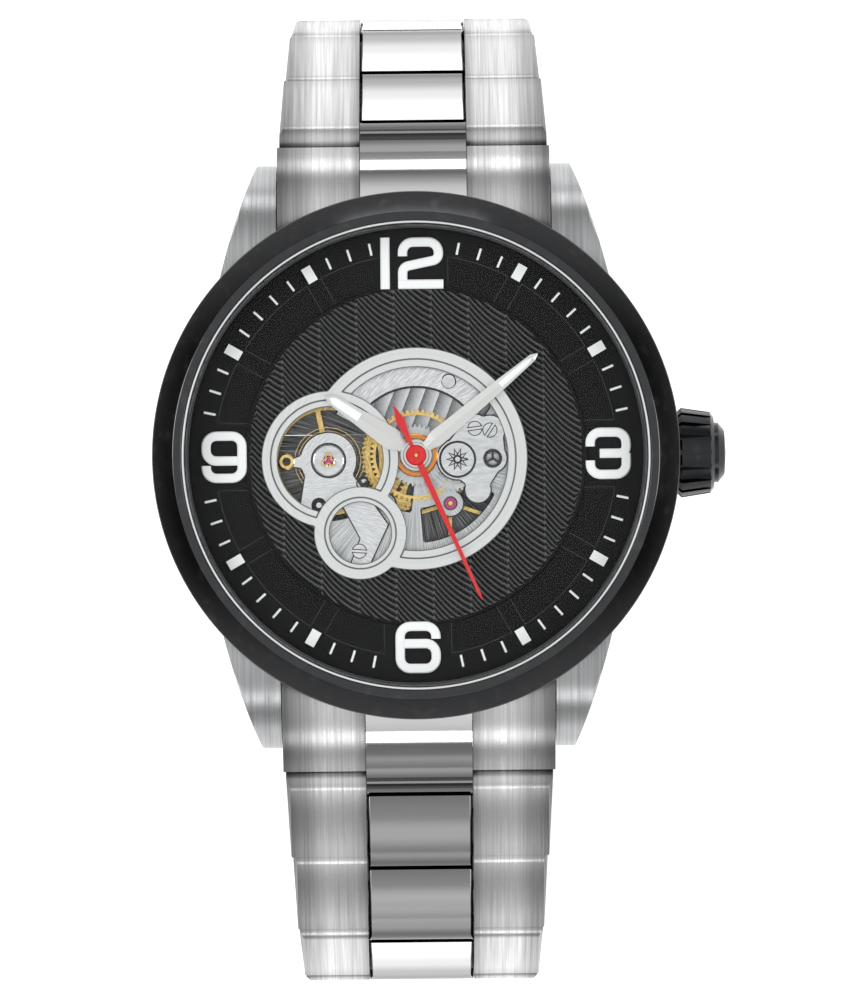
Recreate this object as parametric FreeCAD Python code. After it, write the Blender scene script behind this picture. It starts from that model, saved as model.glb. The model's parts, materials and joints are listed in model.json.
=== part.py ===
import FreeCAD, Part
import math
import os

os.makedirs("parts", exist_ok=True)
V = FreeCAD.Vector
UP = V(0, 0, 1)
ORIGIN = V(0, 0, 0)

# ---------------------------------------------------------------- driving dimensions, mm
bezel_radius = 21.0          # half the case's nominal 42 mm
case_radius = bezel_radius - 0.7
case_bore = 17.2             # room for the movement and its ring
case_bottom = 1.5            # the case back's ring ends here
case_top = 8.4
case_back_radius = 18.6
back_glass_radius = 14.3
back_glass_thickness = 1.2
lug_gap = 22.0               # bracelet width between the lugs
lug_tip = case_radius + 3.1
lug_width = 4.2
lug_bar_y = lug_tip - 1.4    # spring bar, from the hands' axis
lug_bar_z = 2.6
bar_radius = 0.75
crystal_radius = 18.4
crystal_thickness = 1.6
crystal_bevel = 0.4
seal_wall = 0.2
fit = 0.03                   # general radial clearance of a seat
crown_radius = 3.6
crown_length = 2.95
crown_axis_z = 5.0
crown_ribs = 18
tube_radius = 1.3
stem_radius = 0.5

dial_bottom = 7.7
dial_thickness = 0.5
dial_top = dial_bottom + dial_thickness
dial_radius = 18.2
dial_ring_outer = 16.0       # sunk hour track
dial_ring_inner = 13.45
track_depth = 0.12
frame_height = 0.45
frame_step = 0.2
frame_seat = 0.6             # how far the window frame laps over the dial
numeral_height = 4.1
numeral_width = 3.6
numeral_stroke = 0.72
numeral_centre = 15.3
applied_height = 0.35

movement_radius = 13.0
plate_bottom = 6.0
plate_top = 6.8
bridge_bottom = 3.2
bridge_top = 3.8
arbor_radius = 0.18
pivot_play = 0.03

# windows: centre x, centre y, outer radius, step radius, opening radius
big_window = (0.0, -0.27, 8.87, 7.95, 7.3)
left_window = (-6.85, -0.27, 5.47, 4.75, 4.2)
small_window = (-4.5, -6.15, 3.7, 2.85, 2.46)

# movement layout
third_at = (2.7, -3.85)
escape_at = (-2.6, -3.9)
pallet_at = (-5.0, -2.6)
balance_at = (-7.0, -0.34)
barrel_at = (1.13, 6.4)
minute_wheel_at = (2.94, -0.6)
centre_teeth, third_pinion_teeth = 64, 8
third_teeth, fourth_pinion_teeth = 60, 8
fourth_teeth, escape_pinion_teeth = 72, 6
barrel_teeth, centre_pinion_teeth = 72, 12
cannon_teeth, minute_wheel_teeth = 12, 36
minute_pinion_teeth, hour_wheel_teeth = 10, 40
escape_teeth = 15
barrel_drum_radius = 5.2
balance_rim = 4.4
rotor_radius = 12.7

# bracelet
pitch = 7.9                  # pin to pin
link_thickness = 3.2
link_pin_radius = 0.5
centre_width = 8.5
column_gap = 0.06
link_gap = 0.15
first_width = lug_gap - 0.5
last_width = 17.9
width_step = 0.8             # each link is this much narrower than the last, down to last_width
pin_12 = (lug_tip + 1.9, 1.5)         # first hinge on the 12 side: distance out, height
pin_6 = (lug_tip + 2.4, 1.5)
angles_12 = (57, 61, 80, 102, 124, 145)      # degrees below level, worn shape
angles_6 = (39, 40, 63, 88, 112, 135, 152)
clasp_sag = 4.0
cover_width = 18.0
cover_plate = 1.2
blade_width = 13.6
blade_thickness = 1.0

half_link = link_thickness / 2
hole_play = 0.05


# ---------------------------------------------------------------- helpers
def put(name, shape):
    shape.exportStep("parts/" + name + ".step")


def cyl(radius, z_low, z_high, x=0.0, y=0.0):
    return Part.makeCylinder(radius, z_high - z_low, V(x, y, z_low), UP)


def ring(outer, inner, z_low, z_high, x=0.0, y=0.0):
    return cyl(outer, z_low, z_high, x, y).cut(cyl(inner, z_low - 1, z_high + 1, x, y))


def box(x0, x1, y0, y1, z0, z1):
    return Part.makeBox(x1 - x0, y1 - y0, z1 - z0, V(x0, y0, z0))


def rod_x(radius, x0, x1, y, z):
    return Part.makeCylinder(radius, x1 - x0, V(x0, y, z), V(1, 0, 0))


def turned(points, x=0.0, y=0.0):
    """A solid of revolution about an upright axis, from (radius, height) points."""
    loop = [V(x + r, y, z) for r, z in points]
    face = Part.Face(Part.makePolygon(loop + loop[:1]))
    return face.revolve(V(x, y, 0), UP, 360)


def slab(points, z_low, z_high):
    loop = [V(x, y, z_low) for x, y in points]
    return Part.Face(Part.makePolygon(loop + loop[:1])).extrude(V(0, 0, z_high - z_low))


def join(shapes):
    whole = shapes[0]
    for shape in shapes[1:]:
        whole = whole.fuse(shape)
    return whole.removeSplitter()


def turn(shape, degrees, centre=ORIGIN, axis=UP):
    copy = shape.copy()
    copy.rotate(centre, axis, degrees)
    return copy


def shifted(shape, x=0.0, y=0.0, z=0.0):
    copy = shape.copy()
    copy.translate(V(x, y, z))
    return copy


def bearing(point, other=(0.0, 0.0)):
    """Direction, in degrees, from one axis to another."""
    return math.degrees(math.atan2(point[1] - other[1], point[0] - other[0]))


def spacing(point, other=(0.0, 0.0)):
    return math.hypot(point[0] - other[0], point[1] - other[1])


def module_of(centre_distance, teeth, other_teeth):
    return 2 * centre_distance / (teeth + other_teeth)


def gear(teeth, module, z_low, z_high, at=(0.0, 0.0), phase=0.0):
    """A straight-sided gear, slimmer in the tooth when it is a pinion: a tooth's centre points along phase."""
    foot, crest = (0.25, 0.09) if teeth <= 12 else (0.32, 0.12)
    pitch_radius = teeth * module / 2
    root = pitch_radius - 1.1 * module
    tip = pitch_radius + 0.7 * module
    step = 360.0 / teeth
    loop = []
    for tooth in range(teeth):
        for share, radius in ((-foot, root), (-crest, tip), (crest, tip), (foot, root)):
            angle = math.radians(phase + (tooth + share) * step)
            loop.append((at[0] + radius * math.cos(angle), at[1] + radius * math.sin(angle)))
    return slab(loop, z_low, z_high)


def wheel(teeth, module, z_low, z_high, at, phase, spokes=5):
    """A spoked wheel: toothed rim, arms and a boss."""
    body = gear(teeth, module, z_low, z_high, at, phase)
    rim_inner = teeth * module / 2 - 1.1 * module - 0.35
    boss = 0.62
    opening = ring(rim_inner, boss, z_low - 1, z_high + 1, *at)
    arm = box(at[0], at[0] + rim_inner + 0.1, at[1] - 0.14, at[1] + 0.14, z_low - 1, z_high + 1)
    arms = [turn(arm, phase + 360.0 * i / spokes, V(at[0], at[1], 0)) for i in range(spokes)]
    return body.cut(opening.cut(join(arms)))


def gap_phase(phase_of_line, teeth):
    """Phase that puts a tooth space, not a tooth, on the line of centres."""
    return phase_of_line + 180.0 / teeth


# ---------------------------------------------------------------- case
crystal_bottom = 10.05
crystal_top = crystal_bottom + crystal_thickness
bezel_top = crystal_top - 0.1
rehaut_inner = 17.95


def lug():
    """One lug: side outline along the bracelet, cut to its plan outline."""
    inner = lug_gap / 2
    outer = inner + lug_width
    root_y = case_radius - 8.3
    start_y = case_radius - 4.8
    shoulder = case_top - 0.15
    top = Part.Arc(V(0, start_y, shoulder), V(0, lug_tip - 2.8, 6.6), V(0, lug_tip, 1.9)).toShape()
    run = [V(0, lug_tip, 1.9), V(0, lug_tip - 0.5, 0.6), V(0, lug_tip - 4.9, case_bottom - 0.3),
           V(0, root_y, case_bottom + 0.1), V(0, root_y, shoulder), V(0, start_y, shoulder)]
    edges = [top] + [Part.makeLine(a, b) for a, b in zip(run, run[1:])]
    side = Part.Face(Part.Wire(edges)).extrude(V(30, 0, 0))
    rim = Part.Arc(V(outer + 0.6, root_y + 1, 0), V(outer - 1.0, lug_tip - 4.6, 0),
                   V(inner + 1.5, lug_tip + 0.1, 0))
    plan_run = [V(inner + 1.5, lug_tip + 0.1, 0), V(inner, lug_tip + 0.1, 0),
                V(inner, root_y, 0), V(outer + 0.6, root_y, 0), V(outer + 0.6, root_y + 1, 0)]
    plan_edges = [rim.toShape()] + [Part.makeLine(a, b) for a, b in zip(plan_run, plan_run[1:])]
    plan = Part.Face(Part.Wire(plan_edges)).extrude(V(0, 0, case_top + 2))
    body = side.common(plan)
    bevel = Part.makeBox(4, 20, 4, V(0, 0, 0))
    bevel.rotate(ORIGIN, V(0, 1, 0), 45)
    bevel.rotate(ORIGIN, V(1, 0, 0), -38)
    bevel.translate(V(outer - 1.55, case_radius - 5.3, case_top + 2.75))
    body = body.cut(bevel)
    return body.cut(rod_x(bar_radius + fit, inner - 1, inner + 1.6, lug_bar_y, lug_bar_z))


def case_middle():
    wall = turned([(case_bore, case_bottom), (case_radius - 0.9, case_bottom), (case_radius, case_bottom + 1.2),
                   (case_radius, case_top - 0.4), (case_radius - 0.2, case_top), (dial_radius + 0.1, case_top),
                   (dial_radius + 0.1, dial_bottom - 0.02), (case_bore, dial_bottom - 0.02)])
    inside = cyl(case_radius - 1.0, 0, 20)
    corner = lug().cut(inside)
    other = corner.mirror(ORIGIN, V(1, 0, 0))
    lugs = [corner, other, corner.mirror(ORIGIN, V(0, 1, 0)), other.mirror(ORIGIN, V(0, 1, 0))]
    whole = join([wall] + lugs)
    groove = ring(case_back_radius - 0.7, case_back_radius - 1.0, case_bottom - 1, case_bottom + 0.3)
    tube_depth = case_radius - case_bore + 2.9
    tube_hole = Part.makeCylinder(tube_radius + 0.01, tube_depth, V(case_bore - 1, 0, crown_axis_z), V(1, 0, 0))
    return whole.cut(groove).cut(tube_hole)


def bezel():
    seat = crystal_radius + seal_wall + fit
    bore = dial_radius + 0.12
    return turned([(bore, case_top + 0.02), (bezel_radius - 0.25, case_top + 0.02),
                   (bezel_radius, case_top + 0.3), (bezel_radius, 10.0), (bezel_radius - 0.12, 10.2),
                   (seat + 0.63, bezel_top + 0.02), (seat + 0.47, bezel_top), (seat + 0.05, bezel_top - 0.06),
                   (seat, bezel_top - 0.12), (seat, crystal_bottom - 0.02), (bore, crystal_bottom - 0.02)])


def crystal():
    return turned([(0, crystal_bottom), (crystal_radius, crystal_bottom), (crystal_radius, crystal_top - 0.35),
                   (crystal_radius - crystal_bevel, crystal_top), (0, crystal_top)])


def case_seals():
    upper = ring(crystal_radius + seal_wall, crystal_radius + 0.01, crystal_bottom, bezel_top - 0.3)
    lower = ring(case_back_radius - 0.72, case_back_radius - 0.98, case_bottom + 0.01, case_bottom + 0.28)
    return Part.makeCompound([upper, lower])


def case_back():
    lip = back_glass_radius - 0.6
    body = turned([(back_glass_radius + fit, 0), (case_back_radius - 0.5, 0), (case_back_radius, 0.5),
                   (case_back_radius, case_bottom - 0.02), (case_bore - 0.05, case_bottom - 0.02),
                   (case_bore - 0.05, 2.6), (case_bore - 0.9, 2.6), (case_bore - 0.9, case_bottom + 0.4),
                   (lip, case_bottom + 0.4), (lip, back_glass_thickness + 0.02),
                   (back_glass_radius + fit, back_glass_thickness + 0.02)])
    notch = box(16.6, 18.1, -0.9, 0.9, -1, 0.5)
    for i in range(6):
        body = body.cut(turn(notch, 30 + 60 * i))
    return body


def rehaut_ring():
    outer = dial_radius + 0.05
    return turned([(rehaut_inner, dial_top + 0.01), (outer, dial_top + 0.01), (outer, crystal_bottom - 0.05),
                   (rehaut_inner + 0.12, crystal_bottom - 0.05)])


crown_start = max(case_radius + 0.55, bezel_radius - 0.15)


def crown():
    """A ribbed, slightly tapered crown with a domed cap, on the +X side."""
    start = crown_start
    end = start + crown_length
    cap_radius = 2.4
    loop = [(0, start + 0.8), (tube_radius + 0.3, start + 0.8), (tube_radius + 0.3, start),
            (crown_radius - 0.35, start), (crown_radius, start + 0.35), (crown_radius - 0.35, end - 0.3),
            (crown_radius - 0.75, end), (cap_radius, end), (cap_radius, end + 0.35),
            (cap_radius - 0.6, end + 0.85), (0, end + 1.0)]
    body = turned(loop)
    groove = box(crown_radius - 0.42, crown_radius + 1, -0.2, 0.2, start - 1, end - 0.1)
    grooves = [turn(groove, 360.0 * i / crown_ribs) for i in range(crown_ribs)]
    body = body.cut(Part.makeCompound(grooves))
    socket = cyl(stem_radius + 0.02, 0, start + 1.8)
    body = body.cut(socket)
    body.rotate(ORIGIN, V(0, 1, 0), 90)
    return shifted(body, z=crown_axis_z)


def crown_tube():
    body = ring(tube_radius, stem_radius + 0.06, case_bore - 0.4, crown_start + 0.55)
    body.rotate(ORIGIN, V(0, 1, 0), 90)
    return shifted(body, z=crown_axis_z)


def winding_stem():
    body = join([cyl(stem_radius, 10.4, crown_start + 1.75), cyl(stem_radius + 0.25, 11.2, 11.9)])
    body = body.cut(ring(stem_radius + 1, stem_radius - 0.15, 12.6, 13.0))
    body.rotate(ORIGIN, V(0, 1, 0), 90)
    return shifted(body, z=crown_axis_z)


# ---------------------------------------------------------------- dial
def window_solid(window, radius, z_low, z_high):
    return cyl(radius, z_low, z_high, window[0], window[1])


def three_windows(index, z_low, z_high, trim=0.0):
    windows = (big_window, left_window, small_window)
    return join([window_solid(w, w[index] - trim, z_low, z_high) for w in windows])


def dial():
    body = cyl(dial_radius, dial_bottom, dial_top)
    body = body.cut(three_windows(2, dial_bottom - 1, dial_top + 1, frame_seat))
    track = ring(dial_ring_outer, dial_ring_inner, dial_top - track_depth, dial_top + 1)
    for hour in (1, 2, 4, 5, 7, 8, 10, 11):
        bridge = box(dial_ring_inner - 1, dial_ring_outer + 1, -0.65, 0.65, dial_top - 1, dial_top + 1)
        track = track.cut(turn(bridge, 90 - 30 * hour))
    for hour in (12, 3, 6, 9):
        angle = math.radians(90 - 30 * hour)
        x = numeral_centre * math.cos(angle)
        y = numeral_centre * math.sin(angle)
        half = 0.75 * numeral_width
        track = track.cut(box(x - half, x + half, y - half, y + half, dial_top - 1, dial_top + 1))
    return body.cut(track)


def dial_frame():
    """Three joined rings, each with a lower step inside its edge."""
    low = dial_top
    high = dial_top + frame_height
    body = three_windows(2, low, high)
    cuts = []
    for level, bottom in ((3, high - frame_step), (4, low - 1)):
        big = window_solid(big_window, big_window[level], bottom, high + 1)
        left = window_solid(left_window, left_window[level], bottom, high + 1)
        small = window_solid(small_window, small_window[level], bottom, high + 1)
        big = big.cut(window_solid(left_window, left_window[2], bottom - 1, high + 2))
        big = big.cut(window_solid(small_window, small_window[2], bottom - 1, high + 2))
        left = left.cut(window_solid(small_window, small_window[2], bottom - 1, high + 2))
        cuts += [big, left, small]
    for piece in cuts:
        body = body.cut(piece)
    return body


def stroke(points, bend):
    """A band of even width along level and upright runs, with round corners."""
    half = numeral_stroke / 2
    low = dial_top
    high = dial_top + applied_height
    pieces = []
    last = len(points) - 1
    for i in range(last):
        (x0, y0), (x1, y1) = points[i], points[i + 1]
        length = math.hypot(x1 - x0, y1 - y0)
        ux, uy = (x1 - x0) / length, (y1 - y0) / length
        a = bend if i > 0 else 0.0
        b = bend if i < last - 1 else 0.0
        sx, sy = x0 + ux * a, y0 + uy * a
        ex, ey = x1 - ux * b, y1 - uy * b
        pieces.append(box(min(sx, ex) - half * abs(uy), max(sx, ex) + half * abs(uy),
                          min(sy, ey) - half * abs(ux), max(sy, ey) + half * abs(ux), low, high))
        if i < last - 1:
            x2, y2 = points[i + 2]
            reach = math.hypot(x2 - x1, y2 - y1)
            wx, wy = (x2 - x1) / reach, (y2 - y1) / reach
            cx, cy = x1 + (wx - ux) * bend, y1 + (wy - uy) * bend
            corner = ring(bend + half, max(bend - half, 0.02), low, high, cx, cy)
            far = bend + half + 1
            quarter = box(min(cx, cx + (ux - wx) * far), max(cx, cx + (ux - wx) * far),
                          min(cy, cy + (uy - wy) * far), max(cy, cy + (uy - wy) * far), low, high)
            pieces.append(corner.common(quarter))
    return pieces


def digit(kind, x, y):
    """A rounded square digit about (x, y), from single lines."""
    w = (numeral_width - numeral_stroke) / 2
    h = (numeral_height - numeral_stroke) / 2
    end = numeral_stroke / 2
    two = [(-w - end, h), (w, h), (w, 0), (-w, 0), (-w, -h), (w + end, -h)]
    shapes = {
        "1": [[(0, h + end), (0, -h - end)]],
        "2": [two],
        "3": [[(-w - end, h), (w, h), (w, -h), (-w - end, -h)], [(-w + 0.5, 0), (w, 0)]],
        "6": [[(w + end, h), (-w, h), (-w, -h), (w, -h), (w, 0), (-w, 0)]],
        "9": [[(-w - end, -h), (w, -h), (w, h), (-w, h), (-w, 0), (w, 0)]],
    }
    pieces = []
    for line in shapes[kind]:
        pieces += stroke(line, 0.85)
    return shifted(join(pieces), x, y)


def dial_numerals():
    one_x = -2.32
    two_x = 0.51
    out = numeral_centre
    return Part.makeCompound([digit("1", one_x, out), digit("2", two_x, out), digit("3", out, 0),
                              digit("6", 0, -out), digit("9", -out, 0)])


def dial_markers():
    """Hour blocks, and short minute ticks between them."""
    blocks = []
    for hour in (1, 2, 4, 5, 7, 8, 10, 11):
        blocks.append(turn(box(16.05, 17.35, -0.4, 0.4, dial_top, dial_top + applied_height), 90 - 30 * hour))
    for minute in range(60):
        if minute % 5 and 2 <= minute % 15 <= 13:
            blocks.append(turn(box(16.3, 17.25, -0.09, 0.09, dial_top, dial_top + 0.05), 90 - 6 * minute))
    return Part.makeCompound(blocks)


# ---------------------------------------------------------------- hands
def hand(length, tail, width, z_low, thickness, bore, boss):
    """A dauphine hand along +X: a roof-shaped blade, its ridge along the middle."""
    wide_at = 0.32 * length
    low = [V(-tail, 0, z_low), V(wide_at, width / 2, z_low), V(length, 0, z_low), V(wide_at, -width / 2, z_low)]
    ridge_start = V(-tail * 0.9, 0, z_low + thickness)
    ridge_end = V(length * 0.97, 0, z_low + thickness)
    side = 0.3 * thickness
    mid = [V(p.x, p.y, z_low + side) for p in low]
    faces = [Part.Face(Part.makePolygon(low + low[:1]))]
    for i in range(4):
        j = (i + 1) % 4
        faces.append(Part.Face(Part.makePolygon([low[i], low[j], mid[j], mid[i], low[i]])))
    roof = [[mid[0], mid[1], ridge_start], [mid[1], ridge_end, ridge_start], [mid[1], mid[2], ridge_end],
            [mid[2], mid[3], ridge_end], [mid[3], ridge_start, ridge_end], [mid[3], mid[0], ridge_start]]
    faces += [Part.Face(Part.makePolygon(t + t[:1])) for t in roof]
    blade = Part.Solid(Part.Shell(faces))
    if blade.Volume < 0:
        blade.reverse()
    hub = cyl(boss, z_low, z_low + thickness)
    return blade.fuse(hub).cut(cyl(bore, z_low - 1, z_low + thickness + 1))


hour_low = 8.85
minute_low = 9.22
second_low = 9.56
fourth_arbor = 0.14
centre_tube = 0.42
cannon_outer = 0.68
hour_pipe = 0.98
hour_nose = 0.86
minute_nose = 0.52


def seconds_hand():
    needle = slab([(-1.0, -0.16), (12.6, -0.05), (12.6, 0.05), (-1.0, 0.16)], second_low, second_low + 0.16)
    dart = slab([(-1.0, -0.14), (-2.2, -0.2), (-4.4, -0.62), (-3.7, 0), (-4.4, 0.62), (-2.2, 0.2), (-1.0, 0.14)],
                second_low, second_low + 0.16)
    hub = cyl(0.8, second_low, second_low + 0.3)
    return join([needle, dart, hub]).cut(cyl(fourth_arbor, second_low - 1, second_low + 0.18))


# ---------------------------------------------------------------- movement
centre_z = (4.9, 5.12)
third_z = (4.42, 4.62)
fourth_z = (4.02, 4.22)
escape_z = (4.67, 4.84)
fork_z = (4.65, 4.86)
pallet_bridge_z = (4.98, 5.2)
barrel_z = (5.35, 6.72)
ratchet_z = (2.8, 3.12)
m_centre = module_of(spacing(third_at), centre_teeth, third_pinion_teeth)
m_third = module_of(spacing(third_at), third_teeth, fourth_pinion_teeth)
m_fourth = module_of(spacing(escape_at), fourth_teeth, escape_pinion_teeth)
m_barrel = module_of(spacing(barrel_at), barrel_teeth, centre_pinion_teeth)
m_cannon = module_of(spacing(minute_wheel_at), cannon_teeth, minute_wheel_teeth)
m_hour = module_of(spacing(minute_wheel_at), minute_pinion_teeth, hour_wheel_teeth)


def centre_wheel():
    """Wheel, pinion and hollow arbor that carries the cannon pinion."""
    parts = [wheel(centre_teeth, m_centre, *centre_z, (0, 0), bearing(third_at)),
             gear(centre_pinion_teeth, m_barrel, 5.3, 5.72, (0, 0),
                  gap_phase(bearing(barrel_at), centre_pinion_teeth)),
             cyl(centre_tube, 4.74, 8.7)]
    return join(parts).cut(cyl(fourth_arbor + 0.06, 0, 12))


def third_wheel():
    back = bearing((0, 0), third_at)
    parts = [wheel(third_teeth, m_third, *third_z, third_at, back),
             gear(third_pinion_teeth, m_centre, 4.8, 5.25, third_at, gap_phase(back, third_pinion_teeth)),
             cyl(arbor_radius, bridge_bottom + 0.2, plate_top - 0.2, *third_at)]
    return join(parts)


def fourth_wheel():
    parts = [wheel(fourth_teeth, m_fourth, *fourth_z, (0, 0), bearing(escape_at)),
             gear(fourth_pinion_teeth, m_third, 4.3, 4.7, (0, 0),
                  gap_phase(bearing(third_at), fourth_pinion_teeth)),
             cyl(fourth_arbor, bridge_bottom + 0.2, second_low + 0.18)]
    return join(parts)


def escape_wheel():
    """Fifteen raked teeth on a light rim, with a six-leaf pinion."""
    tip, root = 2.05, 1.45
    step = 360.0 / escape_teeth
    loop = []
    for tooth in range(escape_teeth):
        for share, radius in ((0.0, root), (0.55, tip), (0.68, tip), (0.62, root)):
            angle = math.radians((tooth + share) * step)
            loop.append((escape_at[0] + radius * math.cos(angle), escape_at[1] + radius * math.sin(angle)))
    body = slab(loop, *escape_z)
    opening = ring(1.2, 0.5, 0, 10, *escape_at)
    arm = box(escape_at[0], escape_at[0] + 1.3, escape_at[1] - 0.1, escape_at[1] + 0.1, 0, 10)
    arms = join([turn(arm, 90 * i, V(*escape_at, 0)) for i in range(4)])
    back = bearing((0, 0), escape_at)
    pinion = gear(escape_pinion_teeth, m_fourth, 3.9, 4.32, escape_at, gap_phase(back, escape_pinion_teeth))
    arbor = cyl(arbor_radius, bridge_bottom + 0.2, plate_top - 0.2, *escape_at)
    return join([body.cut(opening.cut(arms)), pinion, arbor])


def pallet_fork():
    """Anchor with two arms towards the escape wheel and a lever towards the balance."""
    to_escape = bearing(escape_at, pallet_at)
    to_balance = bearing(balance_at, pallet_at)
    low, high = fork_z
    start = V(*pallet_at, 0)
    arm = shifted(box(0, 1.25, -0.13, 0.13, low, high), *pallet_at)
    arms = [turn(arm, to_escape + side * 68, start) for side in (-1, 1)]
    lever = shifted(box(0, 2.1, -0.11, 0.11, low, high), *pallet_at)
    horn = shifted(box(1.9, 2.3, 0.12, 0.3, low, high), *pallet_at)
    other_horn = shifted(box(1.9, 2.3, -0.3, -0.12, low, high), *pallet_at)
    cross = shifted(box(1.9, 2.1, -0.3, 0.3, low, high), *pallet_at)
    fork = [turn(piece, to_balance, start) for piece in (lever, horn, other_horn, cross)]
    arbor = cyl(arbor_radius, bridge_bottom + 0.2, pallet_bridge_z[1] - 0.05, *pallet_at)
    return join(arms + fork + [cyl(0.4, low, high, *pallet_at), arbor])


def balance_wheel():
    x, y = balance_at
    rim = ring(balance_rim, balance_rim - 0.35, 5.3, 5.72, x, y)
    arm = box(x - balance_rim + 0.2, x + balance_rim - 0.2, y - 0.2, y + 0.2, 5.38, 5.6)
    arm = turn(arm, 102, V(x, y, 0))
    staff = cyl(0.22, bridge_bottom + 0.2, 7.0, x, y)
    roller = cyl(0.7, fork_z[1] + 0.06, 5.15, x, y)
    boss = cyl(0.55, 5.2, 5.8, x, y)
    weights = []
    for i in range(4):
        weight = box(x + balance_rim - 0.3, x + balance_rim + 0.15, y - 0.25, y + 0.25, 5.32, 5.7)
        weights.append(turn(weight, 102 + 45 + 90 * i, V(x, y, 0)))
    return join([rim, arm, staff, roller, boss] + weights)


def spiral_band(at, inner, outer, turns, thickness, z_low, z_high, start=0.0):
    """A flat coiled strip: two spirals a thickness apart, closed and raised."""
    steps = int(turns * 20)
    near, far = [], []
    for i in range(steps + 1):
        share = i / steps
        angle = math.radians(start + 360 * turns * share)
        radius = inner + (outer - inner) * share
        near.append((at[0] + radius * math.cos(angle), at[1] + radius * math.sin(angle)))
        far.append((at[0] + (radius + thickness) * math.cos(angle), at[1] + (radius + thickness) * math.sin(angle)))
    return slab(near + far[::-1], z_low, z_high)


def barrel():
    """Toothed drum with a lid on the dial side."""
    low, high = barrel_z
    x, y = barrel_at
    back = bearing((0, 0), barrel_at)
    teeth = gear(barrel_teeth, m_barrel, low, low + 0.25, barrel_at, back)
    drum = cyl(barrel_drum_radius, low, high, x, y)
    body = teeth.fuse(drum).cut(cyl(barrel_drum_radius - 0.3, low + 0.25, high - 0.2, x, y))
    return body.cut(cyl(0.78, 0, 12, x, y))


def barrel_arbor():
    x, y = barrel_at
    low, high = barrel_z
    core = join([cyl(0.75, low - 0.5, high + 0.1, x, y), cyl(1.3, low + 0.27, high - 0.22, x, y)])
    square = box(x - 0.5, x + 0.5, y - 0.5, y + 0.5, ratchet_z[0], low)
    ratchet = gear(42, 0.16, *ratchet_z, barrel_at)
    return join([core, square, ratchet])


def cannon_pinion():
    back = gap_phase(bearing(minute_wheel_at), cannon_teeth)
    leaves = gear(cannon_teeth, m_cannon, 6.95, 7.2, (0, 0), back)
    body = join([leaves, cyl(cannon_outer, 6.95, minute_low - 0.01), cyl(minute_nose, 8, minute_low + 0.22)])
    body = body.cut(cyl(centre_tube + 0.01, 0, 8.72))
    return body.cut(cyl(fourth_arbor + 0.08, 8, 12))


def minute_wheel():
    back = bearing((0, 0), minute_wheel_at)
    body = wheel(minute_wheel_teeth, m_cannon, 6.98, 7.16, minute_wheel_at, back, 4)
    leaves = gear(minute_pinion_teeth, m_hour, 7.16, 7.5, minute_wheel_at, back)
    hole = cyl(0.22, 0, 12, *minute_wheel_at)
    return join([body, leaves]).cut(hole)


def hour_wheel():
    phase = gap_phase(bearing(minute_wheel_at), hour_wheel_teeth)
    body = gear(hour_wheel_teeth, m_hour, 7.3, 7.48, (0, 0), phase)
    body = join([body, cyl(hour_pipe, 7.3, hour_low - 0.01), cyl(hour_nose, 8, hour_low + 0.25)])
    return body.cut(cyl(cannon_outer + 0.03, 0, 12))


# arbors that stand in the plate: position, which side's bearings they have
plate_jewels = (third_at, escape_at)
bridge_jewels = (third_at, escape_at, pallet_at, balance_at)
jewel_radius = 0.47
dial_screws = ((5.9, 1.95), (4.7, 2.1), (-7.9, -5.5), (-4.6, -7.6), (2.6, -8.2), (8.9, -6.1))
setting_z = (7.54, 7.66)
bridge_screw_circle = 12.1
bridge_screw_angles = (28, 115, 212, 304)
bridge_screws = [(bridge_screw_circle * math.cos(math.radians(a)), bridge_screw_circle * math.sin(math.radians(a)))
                 for a in bridge_screw_angles]


def movement_disc(z_low, z_high):
    return cyl(movement_radius, z_low, z_high)


def mainplate():
    """The plate on the dial side, open over the balance, the barrel and parts of the train."""
    body = movement_disc(plate_bottom, plate_top)
    stem_way = Part.makeCylinder(0.8, 6, V(10.2, 0, crown_axis_z), V(1, 0, 0))
    edge = ring(movement_radius, movement_radius - 1.6, bridge_top + 0.01, plate_bottom).cut(stem_way)
    body = join([body, edge])
    body = body.cut(cyl(barrel_drum_radius + 0.2, 0, 12, *barrel_at))
    body = body.cut(cyl(barrel_drum_radius + 0.75, 0, plate_bottom, *barrel_at))
    body = body.cut(cyl(balance_rim + 0.35, 0, 12, *balance_at))
    body = body.cut(cyl(centre_tube + 0.05, 0, 12))
    for at in plate_jewels:
        body = body.cut(cyl(jewel_radius, 0, 12, *at))
    outlook = ring(6.9, 4.3, 0, 12).common(slab([(0, 0), (9, -4.6), (9, -14), (1.2, -14)], 0, 12))
    body = body.cut(outlook.cut(cyl(1.1, 0, 12, *third_at)))
    train_view = ring(4.5, 1.7, 0, 12).common(slab([(0, 0), (-8, 1.2), (-8, -8), (-0.9, -8)], 0, 12))
    body = body.cut(train_view.cut(cyl(1.0, 0, 12, *escape_at)))
    for at in dial_screws:
        body = body.cut(cyl(0.3, 0, 12, *at))
    for at in bridge_screws:
        body = body.cut(cyl(0.3, 0, 5.2, *at))
    foot = cyl(0.2, plate_top - 0.02, 7.5, *minute_wheel_at)
    pillars = [ring(0.55, 0.3, plate_top - 0.02, setting_z[0] - 0.01, *at) for at in dial_screws[:2]]
    return join([body, foot] + pillars)


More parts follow.
